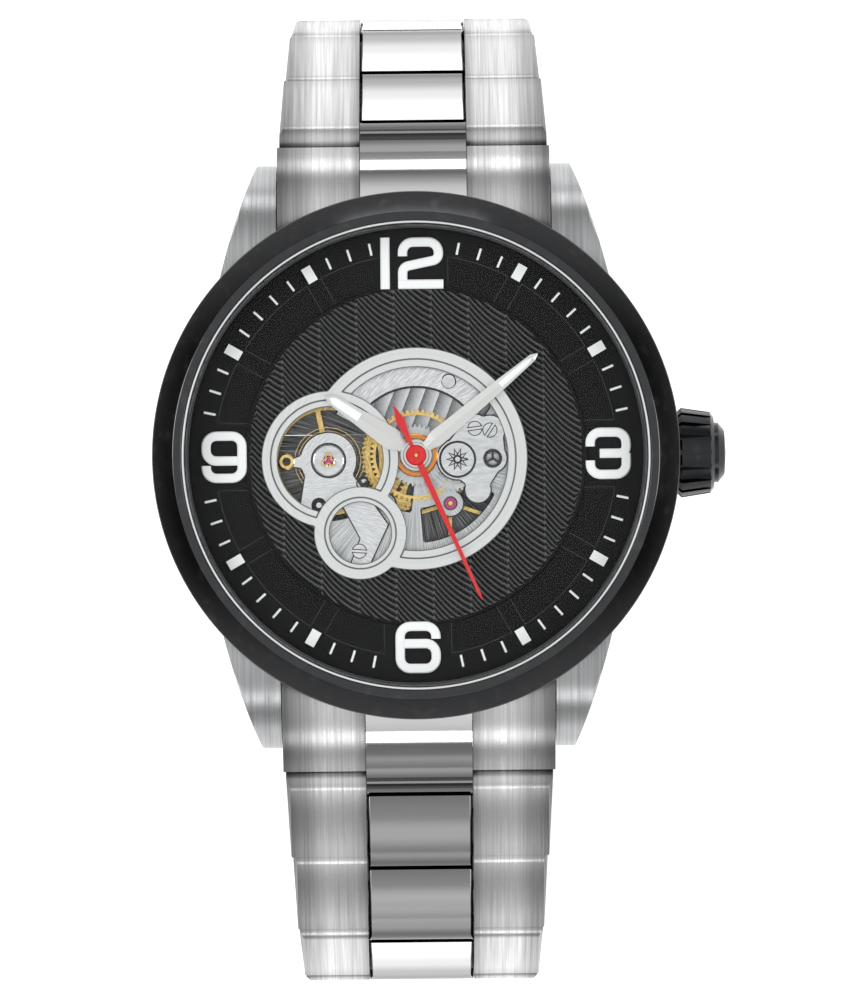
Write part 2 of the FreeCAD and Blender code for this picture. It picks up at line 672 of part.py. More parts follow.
def setting_plate():
    """Lobed cover over the setting works, with a star boss on it."""
    low, high = setting_z
    lobes = [cyl(1.7, low, high, 3.3, -0.35), cyl(1.25, low, high, 5.9, 1.95), cyl(1.2, low, high, 6.1, -0.3),
             cyl(1.1, low, high, 4.9, -2.8), cyl(1.2, low, high, *dial_screws[1])]
    web = slab([(3.2, -1.8), (5.2, -3.6), (7.2, -0.4), (6.9, 2.6), (4.0, 3.0), (2.2, 0.6)], low, high)
    body = join(lobes + [web])
    body = body.cut(cyl(hour_pipe + 0.35, 0, 12))
    disc = ring(1.39, 0.3, high - 0.01, high + 0.12, 3.3, -0.35)
    body = join([body, disc])
    star_cut = cyl(0.67, 0, 12, 6.1, -0.3)
    for at in dial_screws[:2]:
        body = body.cut(cyl(0.32, 0, 12, *at))
    return body.cut(star_cut)


def balance_cock():
    """Bridge across the balance on the dial side, on two feet."""
    low, high = plate_top - 0.35, plate_top + 0.35
    x, y = balance_at
    head = cyl(2.3, low, high, x, y)
    legs = [slab([(-8.6, -1.4), (-5.2, -1.2), (-2.2, -5.5), (-3.9, -9.1), (-5.5, -8.9), (-4.6, -6.6), (-6.4, -3.2)],
                 low, high),
            slab([(-8.9, -1.2), (-6.2, -2.0), (-7.2, -5.8), (-8.7, -6.2), (-9.4, -4.2)], low, high)]
    lugs = [ring(0.64, 0.36, low, high, -10.4, -0.5), slab([(-9.9, -0.9), (-8.4, -1.1), (-8.4, 0.4), (-9.9, -0.1)],
                                                            low, high)]
    body = join([head] + legs + lugs)
    body = body.cut(cyl(1.0, 0, 12, x, y))
    over_plate = movement_disc(0, plate_top + 0.01).cut(cyl(balance_rim + 0.3, 0, 12, x, y))
    body = body.cut(over_plate)
    for at in dial_screws[2:4]:
        body = body.cut(cyl(0.32, 0, 12, *at))
    return body


def pallet_bridge():
    """Small bridge under the balance rim that holds the pallet arbor's upper end."""
    x, y = pallet_at
    low, high = pallet_bridge_z
    top = cyl(0.85, low, high, x, y)
    arm = slab([(x - 0.6, y + 0.2), (x - 0.6, y - 0.5), (-7.4, -4.6), (-8.0, -4.0)], low, high)
    post = cyl(0.6, bridge_top + 0.01, high, -7.7, -4.35)
    body = join([top, arm, post])
    return body.cut(cyl(0.4, 0, 12, x, y))


def jewels():
    """Ringed bearings for the arbors, pressed into plate and bridges."""
    stones = []
    for at in plate_jewels:
        stones.append(ring(jewel_radius - 0.01, arbor_radius + pivot_play, plate_top - 0.25, plate_top - 0.02, *at))
    for at in bridge_jewels:
        hole = (0.22 if at == balance_at else arbor_radius) + pivot_play
        stones.append(ring(jewel_radius - 0.01, hole, bridge_bottom + 0.25, bridge_top - 0.05, *at))
    low, high = pallet_bridge_z
    stones.append(ring(0.39, arbor_radius + pivot_play, low + 0.02, high - 0.02, *pallet_at))
    stones.append(ring(0.99, 0.25, plate_top - 0.2, plate_top + 0.1, *balance_at))
    return Part.makeCompound(stones)


def screw(at, seat_z, head, length):
    body = join([cyl(head, seat_z, seat_z + 0.3, *at), cyl(0.29, seat_z - length, seat_z, *at)])
    groove = box(at[0] - 1, at[0] + 1, at[1] - 0.09, at[1] + 0.09, seat_z + 0.15, seat_z + 1)
    return body.cut(turn(groove, 40 * at[0], V(*at, 0)))


def movement_screws():
    heights = (setting_z[1] + 0.01,) * 2 + (plate_top + 0.36,) * 2 + (plate_top + 0.01,) * 2
    screws = [screw(at, seat, 0.6, 0.55) for at, seat in zip(dial_screws, heights)]
    for at in bridge_screws:
        body = screw(at, 0, 0.7, 1.5)
        body.rotate(V(*at, 0), V(1, 0, 0), 180)
        screws.append(shifted(body, z=bridge_bottom + 0.3))
    return Part.makeCompound(screws)


def bridge_blank():
    body = movement_disc(bridge_bottom, bridge_top)
    body = body.cut(cyl(1.65, 0, 12))
    for at in bridge_screws:
        body = body.cut(cyl(0.3, 0, 12, *at)).cut(cyl(0.75, 0, bridge_bottom + 0.31, *at))
    return body


def barrel_bridge():
    """The half of the back bridges that holds the barrel arbor."""
    half = box(-14, 14, 1.75, 14, 0, 12)
    body = bridge_blank().common(half)
    return body.cut(cyl(0.8, 0, 12, *barrel_at))


def train_bridge():
    """The half that holds the lower ends of the train, the fork and the balance."""
    half = box(-14, 14, -14, 1.7, 0, 12)
    body = bridge_blank().common(half)
    for at in bridge_jewels:
        body = body.cut(cyl(jewel_radius, 0, 12, *at))
    hub = cyl(1.62, bridge_bottom + 0.1, bridge_top).cut(cyl(arbor_radius, 0, 12))
    return body.fuse(hub)


def rotor():
    """Half-disc winding weight with a heavy rim, on the bearing at its centre."""
    arm = cyl(rotor_radius, 2.35, 2.65).common(box(-14, 14, -14, 0.9, 0, 12))
    slots = ring(9.4, 4.2, 0, 12).common(slab([(0, -1), (9, -14), (-9, -14)], 0, 12))
    rib = box(-0.7, 0.7, -14, 0, 0, 12)
    arm = arm.cut(slots.cut(rib))
    weight = ring(rotor_radius, rotor_radius - 2.4, 2.1, 3.0).common(box(-14, 14, -14, 0.0, 0, 12))
    hub = cyl(2.2, 2.2, 2.8)
    return join([arm, weight, hub]).cut(cyl(1.55, 0, 12))


def rotor_bearing():
    """Ball bearing: inner ring fixed to the bridge, outer race inside the rotor's hub."""
    core = turned([(0, 2.1), (0.95, 2.1), (0.95, 2.95), (1.3, 2.95), (1.3, bridge_bottom + 0.09), (0, bridge_bottom + 0.09)])
    balls = []
    for i in range(7):
        angle = math.radians(360 * i / 7)
        balls.append(Part.makeSphere(0.24, V(1.22 * math.cos(angle), 1.22 * math.sin(angle), 2.5)))
    return Part.makeCompound([core] + balls)


def movement_ring():
    body = turned([(movement_radius + 0.05, 2.7), (case_bore - 0.95, 2.7), (case_bore - 0.05, 2.9),
                   (case_bore - 0.05, dial_bottom - 0.02), (movement_radius + 0.05, dial_bottom - 0.02)])
    body = body.cut(box(9, case_bore + 1, -1.4, 1.4, crown_axis_z - 1.4, crown_axis_z + 1.4))
    return body


# ---------------------------------------------------------------- bracelet
def link_frame(side, pivot, angle):
    """Moves a link drawn along +Y at the origin to its pivot; side is 1 at 12 and -1 at 6."""
    def place(shape):
        copy = shape.copy()
        if side < 0:
            copy.rotate(ORIGIN, UP, 180)
        copy.rotate(ORIGIN, V(1, 0, 0), -side * angle)
        copy.translate(V(0, side * pivot[0], pivot[1]))
        return copy
    return place


def width_of(number):
    return max(first_width - width_step * number, last_width)


def next_pivot(pivot, angle, length):
    turned_by = math.radians(angle)
    return (pivot[0] + length * math.cos(turned_by), pivot[1] - length * math.sin(turned_by))


def side_block(s0, s1, x0, x1, round_start, round_end, hollow_start, hollow_end):
    """A block from s0 to s1 along the link; an end is rounded about its pin or hollowed round the next one."""
    body = box(x0, x1, s0, s1, -half_link, half_link)
    if round_start:
        body = body.fuse(rod_x(half_link, x0, x1, s0, 0)).removeSplitter()
    if round_end:
        body = body.fuse(rod_x(half_link, x0, x1, s1, 0)).removeSplitter()
    if hollow_start is not None:
        body = body.cut(rod_x(half_link + link_gap, x0 - 1, x1 + 1, hollow_start, 0))
    if hollow_end is not None:
        body = body.cut(rod_x(half_link + link_gap, x0 - 1, x1 + 1, hollow_end, 0))
    return body


def edge_bevel(x, s0, s1, size):
    """A long prism that takes a 45 degree bevel off the outer top edge at x (x > 0)."""
    loop = [V(x - size, s0, half_link + 0.001), V(x + 1, s0, half_link + 0.001),
            V(x + 1, s0, half_link - size), V(x, s0, half_link - size)]
    return Part.Face(Part.makePolygon(loop + loop[:1])).extrude(V(0, s1 - s0, 0))


def outer_column(length, start_width, end_width, bevel=0.35, ear=False):
    """The +X brushed column: round about its own pin, hollow round the next, or round there too as an ear."""
    inner = centre_width / 2 + column_gap
    wide = start_width / 2
    if ear:
        body = side_block(0, length, inner, wide, True, True, None, None)
        body = body.cut(rod_x(bar_radius - 0.3, 0, wide - 0.8, length, 0))
    else:
        body = side_block(0, length - 0.4, inner, wide, True, False, None, length)
    reach = half_link + 0.1
    end = length + reach
    plan = slab([(inner - 1, -reach), (wide, -reach), (end_width / 2, end), (inner - 1, end)], -3, 3)
    body = body.common(plan).cut(edge_bevel(wide, -reach, end, bevel))
    return body.cut(rod_x(link_pin_radius + 0.01, 0, wide - 0.8, 0, 0))


def centre_block(length):
    half = centre_width / 2
    body = side_block(0.4, length, -half, half, False, True, 0, None)
    edge = edge_bevel(half, -3, length + 3, 0.22)
    body = body.cut(edge).cut(edge.mirror(ORIGIN, V(1, 0, 0)))
    return body.cut(rod_x(link_pin_radius + hole_play, -20, 20, length, 0))


def link_solids(start_width, end_width):
    """Two outer columns, the centre block between them and the pin they turn on."""
    column = outer_column(pitch, start_width, end_width)
    other = column.mirror(ORIGIN, V(1, 0, 0))
    pin = rod_x(link_pin_radius, -start_width / 2 + 0.85, start_width / 2 - 0.85, 0, 0)
    half = centre_width / 2
    stay = rod_x(0.4, half + 0.001, half + column_gap - 0.001, pitch / 2, 0)
    return Part.makeCompound([column, other, centre_block(pitch), pin, stay,
                              stay.mirror(ORIGIN, V(1, 0, 0))])


def end_link(side, pivot):
    """Fills the gap between two lugs, from the case wall to the first hinge."""
    out, height = pivot
    top_start = case_top - 0.5
    root_y = case_radius - 2.3
    arc = Part.Arc(V(0, root_y, top_start), V(0, lug_bar_y + 0.9, 6.3), V(0, out + 1.2, height + 1.15)).toShape()
    run = [V(0, out + 1.2, height + 1.15), V(0, out, height - half_link), V(0, lug_bar_y - 0.8, 0.7),
           V(0, root_y, case_bottom + 0.3), V(0, root_y, top_start)]
    edges = [arc] + [Part.makeLine(a, b) for a, b in zip(run, run[1:])]
    profile = Part.Face(Part.Wire(edges))
    half = lug_gap / 2 - 0.1
    inner = centre_width / 2
    wall = cyl(case_radius + 0.08, -5, 15)
    columns = []
    for x0, x1 in ((-half, -inner - column_gap), (inner + column_gap, half)):
        block = shifted(profile.extrude(V(x1 - x0, 0, 0)), x0)
        block = block.cut(wall).cut(rod_x(half_link + link_gap, x0 - 1, x1 + 1, out, height))
        far = box(x0 - 1, x1 + 1, out - 0.55, out + 9, -5, 15)
        columns.append(block.cut(far))
    block = shifted(profile.extrude(V(2 * inner, 0, 0)), -inner)
    block = block.fuse(rod_x(half_link, -inner, inner, out, height)).cut(wall)
    tip = box(-20, 20, out - 0.001, out + 9, height, 15).cut(rod_x(half_link, -20, 20, out, height))
    block = block.cut(tip.cut(box(-20, 20, out - 1, out + 0.001, -9, 20)))
    block = block.cut(rod_x(link_pin_radius + hole_play, -20, 20, out, height))
    body = Part.makeCompound([c.cut(rod_x(bar_radius + fit, -20, 20, lug_bar_y, lug_bar_z))
                              for c in columns + [block]])
    stays = [rod_x(0.4, inner + 0.001, inner + column_gap - 0.001, lug_bar_y - 0.4, 5.0)]
    stays.append(stays[0].mirror(ORIGIN, V(1, 0, 0)))
    whole = Part.makeCompound(body.Solids + stays)
    return whole if side > 0 else turn(whole, 180)


def spring_bars():
    bars = []
    reach = lug_gap / 2
    for side in (1, -1):
        y = side * lug_bar_y
        bar = join([rod_x(bar_radius, -reach + 0.6, reach - 0.6, y, lug_bar_z),
                    rod_x(bar_radius - 0.3, -reach - 1.2, reach + 1.2, y, lug_bar_z)])
        bars.append(bar)
    return Part.makeCompound(bars)


# ---------------------------------------------------------------- clasp
pivots_12 = [pin_12]
for angle in angles_12:
    pivots_12.append(next_pivot(pivots_12[-1], angle, pitch))
pivots_6 = [pin_6]
for angle in angles_6:
    pivots_6.append(next_pivot(pivots_6[-1], angle, pitch))
right = (pivots_12[-1][0], pivots_12[-1][1])
left = (-pivots_6[-1][0], pivots_6[-1][1])
chord = math.hypot(right[0] - left[0], right[1] - left[1])
chord_angle = math.degrees(math.atan2(right[1] - left[1], right[0] - left[0]))
pin_depth = 4.1              # how far inside the cover's outer face the end pins lie
clasp_radius = (chord * chord / 4 + clasp_sag ** 2) / (2 * clasp_sag)
centre_rise = clasp_radius - clasp_sag
arc_mid = ((left[0] + right[0]) / 2, (left[1] + right[1]) / 2)
tilt = math.radians(chord_angle)
arc_centre = (arc_mid[0] - centre_rise * math.sin(tilt), arc_mid[1] + centre_rise * math.cos(tilt))
cover_radius = clasp_radius + pin_depth
right_angle = math.degrees(math.atan2(right[1] - arc_centre[1], right[0] - arc_centre[0]))
left_angle = math.degrees(math.atan2(left[1] - arc_centre[1], left[0] - arc_centre[0]))
degree_length = math.radians(1) * cover_radius
hinge_a_angle = left_angle + 6.2 / degree_length       # cover to outer blade
hinge_b_angle = right_angle - 7.5 / degree_length      # outer blade to inner blade


def clasp_point(radius, angle):
    turned_to = math.radians(angle)
    return (arc_centre[0] + radius * math.cos(turned_to), arc_centre[1] + radius * math.sin(turned_to))


def curved_plate(outer, inner, from_angle, to_angle, x0, x1):
    """A plate between two arcs about the clasp's centre."""
    def at(radius, angle):
        point = clasp_point(radius, angle)
        return V(x0, point[0], point[1])
    middle = (from_angle + to_angle) / 2
    edges = [Part.Arc(at(outer, from_angle), at(outer, middle), at(outer, to_angle)).toShape(),
             Part.makeLine(at(outer, to_angle), at(inner, to_angle)),
             Part.Arc(at(inner, to_angle), at(inner, middle), at(inner, from_angle)).toShape(),
             Part.makeLine(at(inner, from_angle), at(outer, from_angle))]
    return Part.Face(Part.Wire(edges)).extrude(V(x1 - x0, 0, 0))


hinge_a = clasp_point(cover_radius - cover_plate - 0.25 - 1.0, hinge_a_angle)
hinge_b = clasp_point(cover_radius - 3.0, hinge_b_angle)
skirt_inner = cover_radius - 4.7


def clasp_cover():
    """Curved shell with side skirts; ears at one end take the 12-side pin."""
    half = cover_width / 2
    inner = centre_width / 2 + column_gap
    start = hinge_a_angle - 1.4 / degree_length
    plate = curved_plate(cover_radius, cover_radius - cover_plate, start + 0.7 / degree_length,
                         right_angle - 0.9 / degree_length, -half, half)
    skirts = [curved_plate(cover_radius - 0.1, skirt_inner, start, right_angle, x0, x0 + 1.0)
              for x0 in (-half, half - 1.0)]
    ears = []
    for x0, x1 in ((-half, -inner), (inner, half)):
        ears.append(curved_plate(cover_radius - 0.1, cover_radius - pin_depth - 1.0, right_angle - 1.6,
                                 right_angle, x0, x1))
        ears.append(rod_x(half_link, x0, x1, *right))
    body = join([plate] + skirts + ears)
    knuckle_room = rod_x(half_link + 0.2, -inner, inner, *right)
    body = body.cut(knuckle_room).cut(rod_x(link_pin_radius + 0.01, -half + 0.8, half - 0.8, *right))
    body = body.cut(rod_x(0.61, -half + 0.3, half - 0.3, *hinge_a))
    pin = rod_x(link_pin_radius, -half + 0.85, half - 0.85, *right)
    hinge_pin = rod_x(0.6, -half + 0.35, half - 0.35, *hinge_a)
    return Part.makeCompound([body, pin, hinge_pin])


def outer_blade():
    half = blade_width / 2
    mid = cover_radius - cover_plate - 0.25
    plate = curved_plate(mid, mid - blade_thickness, hinge_a_angle, hinge_b_angle - 2.0 / degree_length,
                         -half, half)
    window = curved_plate(mid + 1, mid - 3, hinge_a_angle + 5 / degree_length,
                          hinge_b_angle - 8 / degree_length, -half + 3.2, half - 3.2)
    knuckle = rod_x(1.0, -half, half, *hinge_a)
    tongue = curved_plate(mid, mid - blade_thickness, hinge_b_angle - 3.0 / degree_length, hinge_b_angle, -2.9, 2.9)
    eye = rod_x(1.55, -2.9, 2.9, *hinge_b)
    body = join([plate.cut(window), knuckle, tongue, eye])
    body = body.cut(rod_x(0.66, -half - 1, half + 1, *hinge_a)).cut(rod_x(0.66, -4, 4, *hinge_b))
    return body


def inner_blade():
    half = blade_width / 2
    top = cover_radius - 3.6
    plate = curved_plate(top, top - blade_thickness, left_angle + 1.0 / degree_length,
                         hinge_b_angle - 2.0 / degree_length, -half, half)
    window = curved_plate(top + 1, top - 3, hinge_a_angle + 5 / degree_length,
                          hinge_b_angle - 8 / degree_length, -half + 3.2, half - 3.2)
    plate = plate.cut(window)
    clear = box(-20, 20, left[0] - 5, left[0] + 2.2, left[1] - 5, left[1] + 5)
    neck = centre_width / 2 - 0.1
    plate = plate.cut(clear.cut(box(-neck, neck, -99, 99, -99, 99)))
    pieces = [plate, rod_x(1.3, -neck, neck, *left)]
    for x0, x1 in ((-half, -3.1), (3.1, half)):
        pieces.append(rod_x(1.55, x0, x1, *hinge_b))
        pieces.append(curved_plate(top, top - blade_thickness, hinge_b_angle - 3.0 / degree_length,
                                   hinge_b_angle, x0, x1))
    body = join(pieces).cut(rod_x(0.61, -half - 1, half + 1, *hinge_b)).cut(rod_x(0.56, -9, 9, *left))
    pin = rod_x(0.6, -half + 0.1, half - 0.1, *hinge_b)
    bar = rod_x(0.55, -neck + 0.05, neck - 0.05, *left)
    return Part.makeCompound([body, pin, bar])


# ---------------------------------------------------------------- build
put("case_middle", case_middle())
put("bezel", bezel())
put("crystal", crystal())
put("case_seals", case_seals())
put("case_back", case_back())
put("case_back_glass", cyl(back_glass_radius, 0, back_glass_thickness))
put("rehaut_ring", rehaut_ring())
put("crown", crown())
put("crown_tube", crown_tube())
put("winding_stem", winding_stem())
put("dial", dial())
put("dial_frame", dial_frame())
put("dial_numerals", dial_numerals())
put("dial_markers", dial_markers())

# hands at eight minutes and twenty-six seconds past ten
second_reading = 26.0
minute_reading = 8 + second_reading / 60
hour_reading = 10 + minute_reading / 60
put("hour_hand", turn(hand(8.8, 1.0, 2.0, hour_low, 0.3, hour_nose + 0.01, 1.35), 90 - 30 * hour_reading))
put("minute_hand", turn(hand(12.65, 1.0, 1.35, minute_low, 0.28, minute_nose + 0.01, 1.1), 90 - 6 * minute_reading))
put("seconds_hand", turn(seconds_hand(), 90 - 6 * second_reading))

put("centre_wheel", centre_wheel())
put("third_wheel", third_wheel())
put("fourth_wheel", fourth_wheel())
put("escape_wheel", escape_wheel())
put("pallet_fork", pallet_fork())
put("balance_wheel", balance_wheel())
put("hairspring", spiral_band(balance_at, 0.6, 2.85, 8, 0.06, 5.95, 6.15, 20))
put("barrel", barrel())
put("mainspring", spiral_band(barrel_at, 1.34, 4.7, 7, 0.12, barrel_z[0] + 0.3, barrel_z[1] - 0.25))
put("barrel_arbor", barrel_arbor())
put("cannon_pinion", cannon_pinion())
put("minute_wheel", minute_wheel())
put("hour_wheel", hour_wheel())
put("mainplate", mainplate())
put("setting_plate", setting_plate())
put("balance_cock", balance_cock())
put("pallet_bridge", pallet_bridge())
put("barrel_bridge", barrel_bridge())
put("train_bridge", train_bridge())
put("jewels", jewels())
put("movement_screws", movement_screws())
put("movement_ring", movement_ring())
put("rotor", rotor())
put("rotor_bearing", rotor_bearing())

put("end_link_12", end_link(1, pin_12))
put("end_link_6", end_link(-1, pin_6))
put("spring_bars", spring_bars())
for side, tag, angles, pivots in ((1, "12", angles_12, pivots_12), (-1, "6", angles_6, pivots_6)):
    for number, angle in enumerate(angles):
        width, next_width = width_of(number), width_of(number + 1)
        place = link_frame(side, pivots[number], angle)
        solids = link_solids(width, next_width)
        if side < 0 and number == len(angles) - 1:
            # the last centre block gives way to the clasp's inner blade
            room = box(-20, 20, pitch - half_link - 0.4, pitch + 9, -9, 9)
            block = solids.Solids[2].cut(room)
            ear = outer_column(pitch, width, next_width, ear=True)
            ears = [ear, ear.mirror(ORIGIN, V(1, 0, 0))]
            solids = Part.makeCompound(ears + [block] + solids.Solids[3:])
        put("link_%s_%d" % (tag, number + 1), place(solids))
put("clasp_cover", clasp_cover())
put("clasp_outer_blade", outer_blade())
put("clasp_inner_blade", inner_blade())
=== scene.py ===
import bpy
import json
import math
import numpy as np
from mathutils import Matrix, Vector


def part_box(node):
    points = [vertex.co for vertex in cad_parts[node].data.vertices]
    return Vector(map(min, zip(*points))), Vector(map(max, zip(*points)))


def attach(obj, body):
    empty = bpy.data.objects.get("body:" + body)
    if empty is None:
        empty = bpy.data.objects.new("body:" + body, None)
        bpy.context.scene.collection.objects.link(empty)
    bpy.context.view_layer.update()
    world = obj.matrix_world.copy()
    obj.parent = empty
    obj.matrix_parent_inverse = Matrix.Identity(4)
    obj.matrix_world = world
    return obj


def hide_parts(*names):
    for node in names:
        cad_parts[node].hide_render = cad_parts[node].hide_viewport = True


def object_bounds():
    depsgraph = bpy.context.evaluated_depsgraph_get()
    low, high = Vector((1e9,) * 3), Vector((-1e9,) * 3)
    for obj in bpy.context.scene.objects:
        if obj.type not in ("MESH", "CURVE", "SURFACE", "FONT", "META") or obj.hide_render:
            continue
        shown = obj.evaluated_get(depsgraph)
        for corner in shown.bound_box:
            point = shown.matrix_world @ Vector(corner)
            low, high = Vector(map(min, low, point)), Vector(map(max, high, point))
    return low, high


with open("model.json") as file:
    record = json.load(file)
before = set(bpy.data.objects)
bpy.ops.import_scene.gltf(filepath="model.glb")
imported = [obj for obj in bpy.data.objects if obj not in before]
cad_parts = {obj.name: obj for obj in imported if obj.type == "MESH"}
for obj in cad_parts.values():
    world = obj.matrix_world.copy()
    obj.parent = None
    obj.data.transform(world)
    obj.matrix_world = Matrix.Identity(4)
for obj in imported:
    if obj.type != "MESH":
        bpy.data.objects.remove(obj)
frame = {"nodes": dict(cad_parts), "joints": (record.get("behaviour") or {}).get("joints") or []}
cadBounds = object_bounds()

nodes = frame["nodes"]
mm = 0.001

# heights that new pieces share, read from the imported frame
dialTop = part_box("dial_markers")[0][2]
floorHeight = cadBounds[0][2]
scene = bpy.context.scene
print("stage 1: frame loaded,", len(nodes), "nodes")


# mesh helpers
def gridFaces(rows, columns, wrapRows=False, wrapColumns=False):
    # quads of a rows x columns lattice of points, numbered row by row
    r = np.arange(rows if wrapRows else rows - 1)
    c = np.arange(columns if wrapColumns else columns - 1)
    r0, c0 = np.meshgrid(r, c, indexing="ij")
    r1, c1 = (r0 + 1) % rows, (c0 + 1) % columns
    quads = np.stack([r0 * columns + c0, r0 * columns + c1, r1 * columns + c1, r1 * columns + c0], axis=-1)
    return quads.reshape(-1, 4)


def makePiece(name, points, faces, material, body, slotName, smooth=True):
    # points are in metres in the frame; faces all have the same number of corners
    mesh = bpy.data.meshes.new(name)
    mesh.vertices.add(len(points))
    mesh.vertices.foreach_set("co", np.asarray(points, np.float32).ravel())
    corners = faces.shape[1]
    mesh.loops.add(faces.size)
    mesh.loops.foreach_set("vertex_index", faces.astype(np.int32).ravel())
    mesh.polygons.add(len(faces))
    mesh.polygons.foreach_set("loop_start", np.arange(0, faces.size, corners, dtype=np.int32))
    mesh.polygons.foreach_set("use_smooth", np.full(len(faces), smooth))
    mesh.update(calc_edges=True)
    mesh.validate()
    mesh.materials.append(material)
    piece = bpy.data.objects.new(name, mesh)
    scene.collection.objects.link(piece)
    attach(piece, body)
    return piece


def lathePoints(profile, steps, centre=(0.0, 0.0)):
    # a closed (radius, height) profile, listed anticlockwise, carried round an upright axis:
    # x = r cos a, y = r sin a
    profile = np.asarray(profile)
    angle = np.linspace(0, 2 * np.pi, steps, endpoint=False)[:, None]
    x = centre[0] + profile[None, :, 0] * np.cos(angle)
    y = centre[1] + profile[None, :, 0] * np.sin(angle)
    z = np.broadcast_to(profile[None, :, 1], x.shape)
    return np.stack([x, y, z], axis=-1).reshape(-1, 3), gridFaces(steps, len(profile), True, True)[:, ::-1]


def roundedPath(corners, radii, arcSteps=7):
    # straight runs joined by arcs: each inner corner is replaced by an arc tangent to both its runs
    corners = [np.array(c, float) for c in corners]
    path = [corners[0]]
    for before, corner, after, radius in zip(corners, corners[1:], corners[2:], radii):
        a = (before - corner) / np.linalg.norm(before - corner)
        b = (after - corner) / np.linalg.norm(after - corner)
        half = 0.5 * math.acos(np.clip(a @ b, -1, 1))
        reach = radius / math.tan(half)
        middle = corner + (a + b) / np.linalg.norm(a + b) * radius / math.sin(half)
        start, end = corner + a * reach - middle, corner + b * reach - middle
        sweep = math.atan2(start[0] * end[1] - start[1] * end[0], start @ end)
        turn = np.linspace(0, sweep, arcSteps)[:, None]
        path += list(middle + np.cos(turn) * start + np.sin(turn) * np.array([-start[1], start[0]]))
    return np.array(path + [corners[-1]])


def ribbon(path, width, low, high, bevel):
    # a band of even width along a flat path, with a bevelled top: each point offset along its mitred normal
    step = np.diff(path, axis=0)
    step = step / np.linalg.norm(step, axis=1)[:, None]
    before = np.vstack([step[:1], step])
    after = np.vstack([step, step[-1:]])
    run = before + after
    run = run / np.linalg.norm(run, axis=1)[:, None]
    mitre = 1 / np.clip((run * after).sum(1), 0.5, 1)
    normal = np.stack([-run[:, 1], run[:, 0]], axis=1) * mitre[:, None]
    half = width / 2
    section = np.array([(-half, low), (-half, high - bevel), (-half + bevel, high), (half - bevel, high),
                        (half, high - bevel), (half, low)])
    flat = path[:, None, :] + normal[:, None, :] * section[None, :, 0, None]
    height = np.broadcast_to(section[None, :, 1, None], flat.shape[:2] + (1,))
    points = np.concatenate([flat, height], axis=-1)
    count = len(path)
    faces = gridFaces(count, 6, False, True)[:, ::-1]
    first, last = np.arange(6), np.arange(6) + (count - 1) * 6
    caps = np.array([first[[0, 1, 2, 3]], first[[0, 3, 4, 5]], last[[3, 2, 1, 0]], last[[5, 4, 3, 0]]])
    return points.reshape(-1, 3), np.vstack([faces, caps])


def joined(parts):
    points, faces, base = [], [], 0
    for p, f in parts:
        points.append(p)
        faces.append(f + base)
        base += len(p)
    return np.vstack(points), np.vstack(faces)


# shader groups
def groupNew(name, inputs, outputs):
    tree = bpy.data.node_groups.new(name, "ShaderNodeTree")
    for label, kind, value in inputs:
        made = tree.interface.new_socket(name=label, in_out="INPUT", socket_type=kind)
        if value is not None:
            made.default_value = value
    for label, kind in outputs:
        tree.interface.new_socket(name=label, in_out="OUTPUT", socket_type=kind)
    return tree, tree.nodes.new("NodeGroupInput"), tree.nodes.new("NodeGroupOutput")


def mathNode(tree, operation, a, b=None, clamp=False):
    # a maths node: numbers are typed in, sockets are linked
    node = tree.nodes.new("ShaderNodeMath")
    node.operation = operation
    node.use_clamp = clamp
    for socket, value in zip(node.inputs, (a, b)):
        if value is None:
            continue
        if isinstance(value, (int, float)):
            socket.default_value = value
        else:
            tree.links.new(value, socket)
    return node.outputs[0]


floatKind, vectorKind = "NodeSocketFloat", "NodeSocketVector"


def makeBrushGroup():
    # brushed grain: noise squeezed across the stroke, plus a broad drift in tone
    tree, source, sink = groupNew("BrushedGrain", [("Coordinates", vectorKind, None),
                                                   ("Stretch", vectorKind, (9000, 150, 150)),
                                                   ("Drift Scale", floatKind, 220.0)],
                                  [("Grain", floatKind), ("Drift", floatKind)])
    squeeze = tree.nodes.new("ShaderNodeVectorMath")
    squeeze.operation = "MULTIPLY"
    tree.links.new(source.outputs["Coordinates"], squeeze.inputs[0])
    tree.links.new(source.outputs["Stretch"], squeeze.inputs[1])
    fine = tree.nodes.new("ShaderNodeTexNoise")
    fine.inputs["Scale"].default_value = 1.0
    fine.inputs["Detail"].default_value = 3.0
    tree.links.new(squeeze.outputs[0], fine.inputs["Vector"])
    tree.links.new(fine.outputs["Fac"], sink.inputs["Grain"])
    broad = tree.nodes.new("ShaderNodeTexNoise")
    tree.links.new(source.outputs["Coordinates"], broad.inputs["Vector"])
    tree.links.new(source.outputs["Drift Scale"], broad.inputs["Scale"])
    tree.links.new(broad.outputs["Fac"], sink.inputs["Drift"])
    return tree


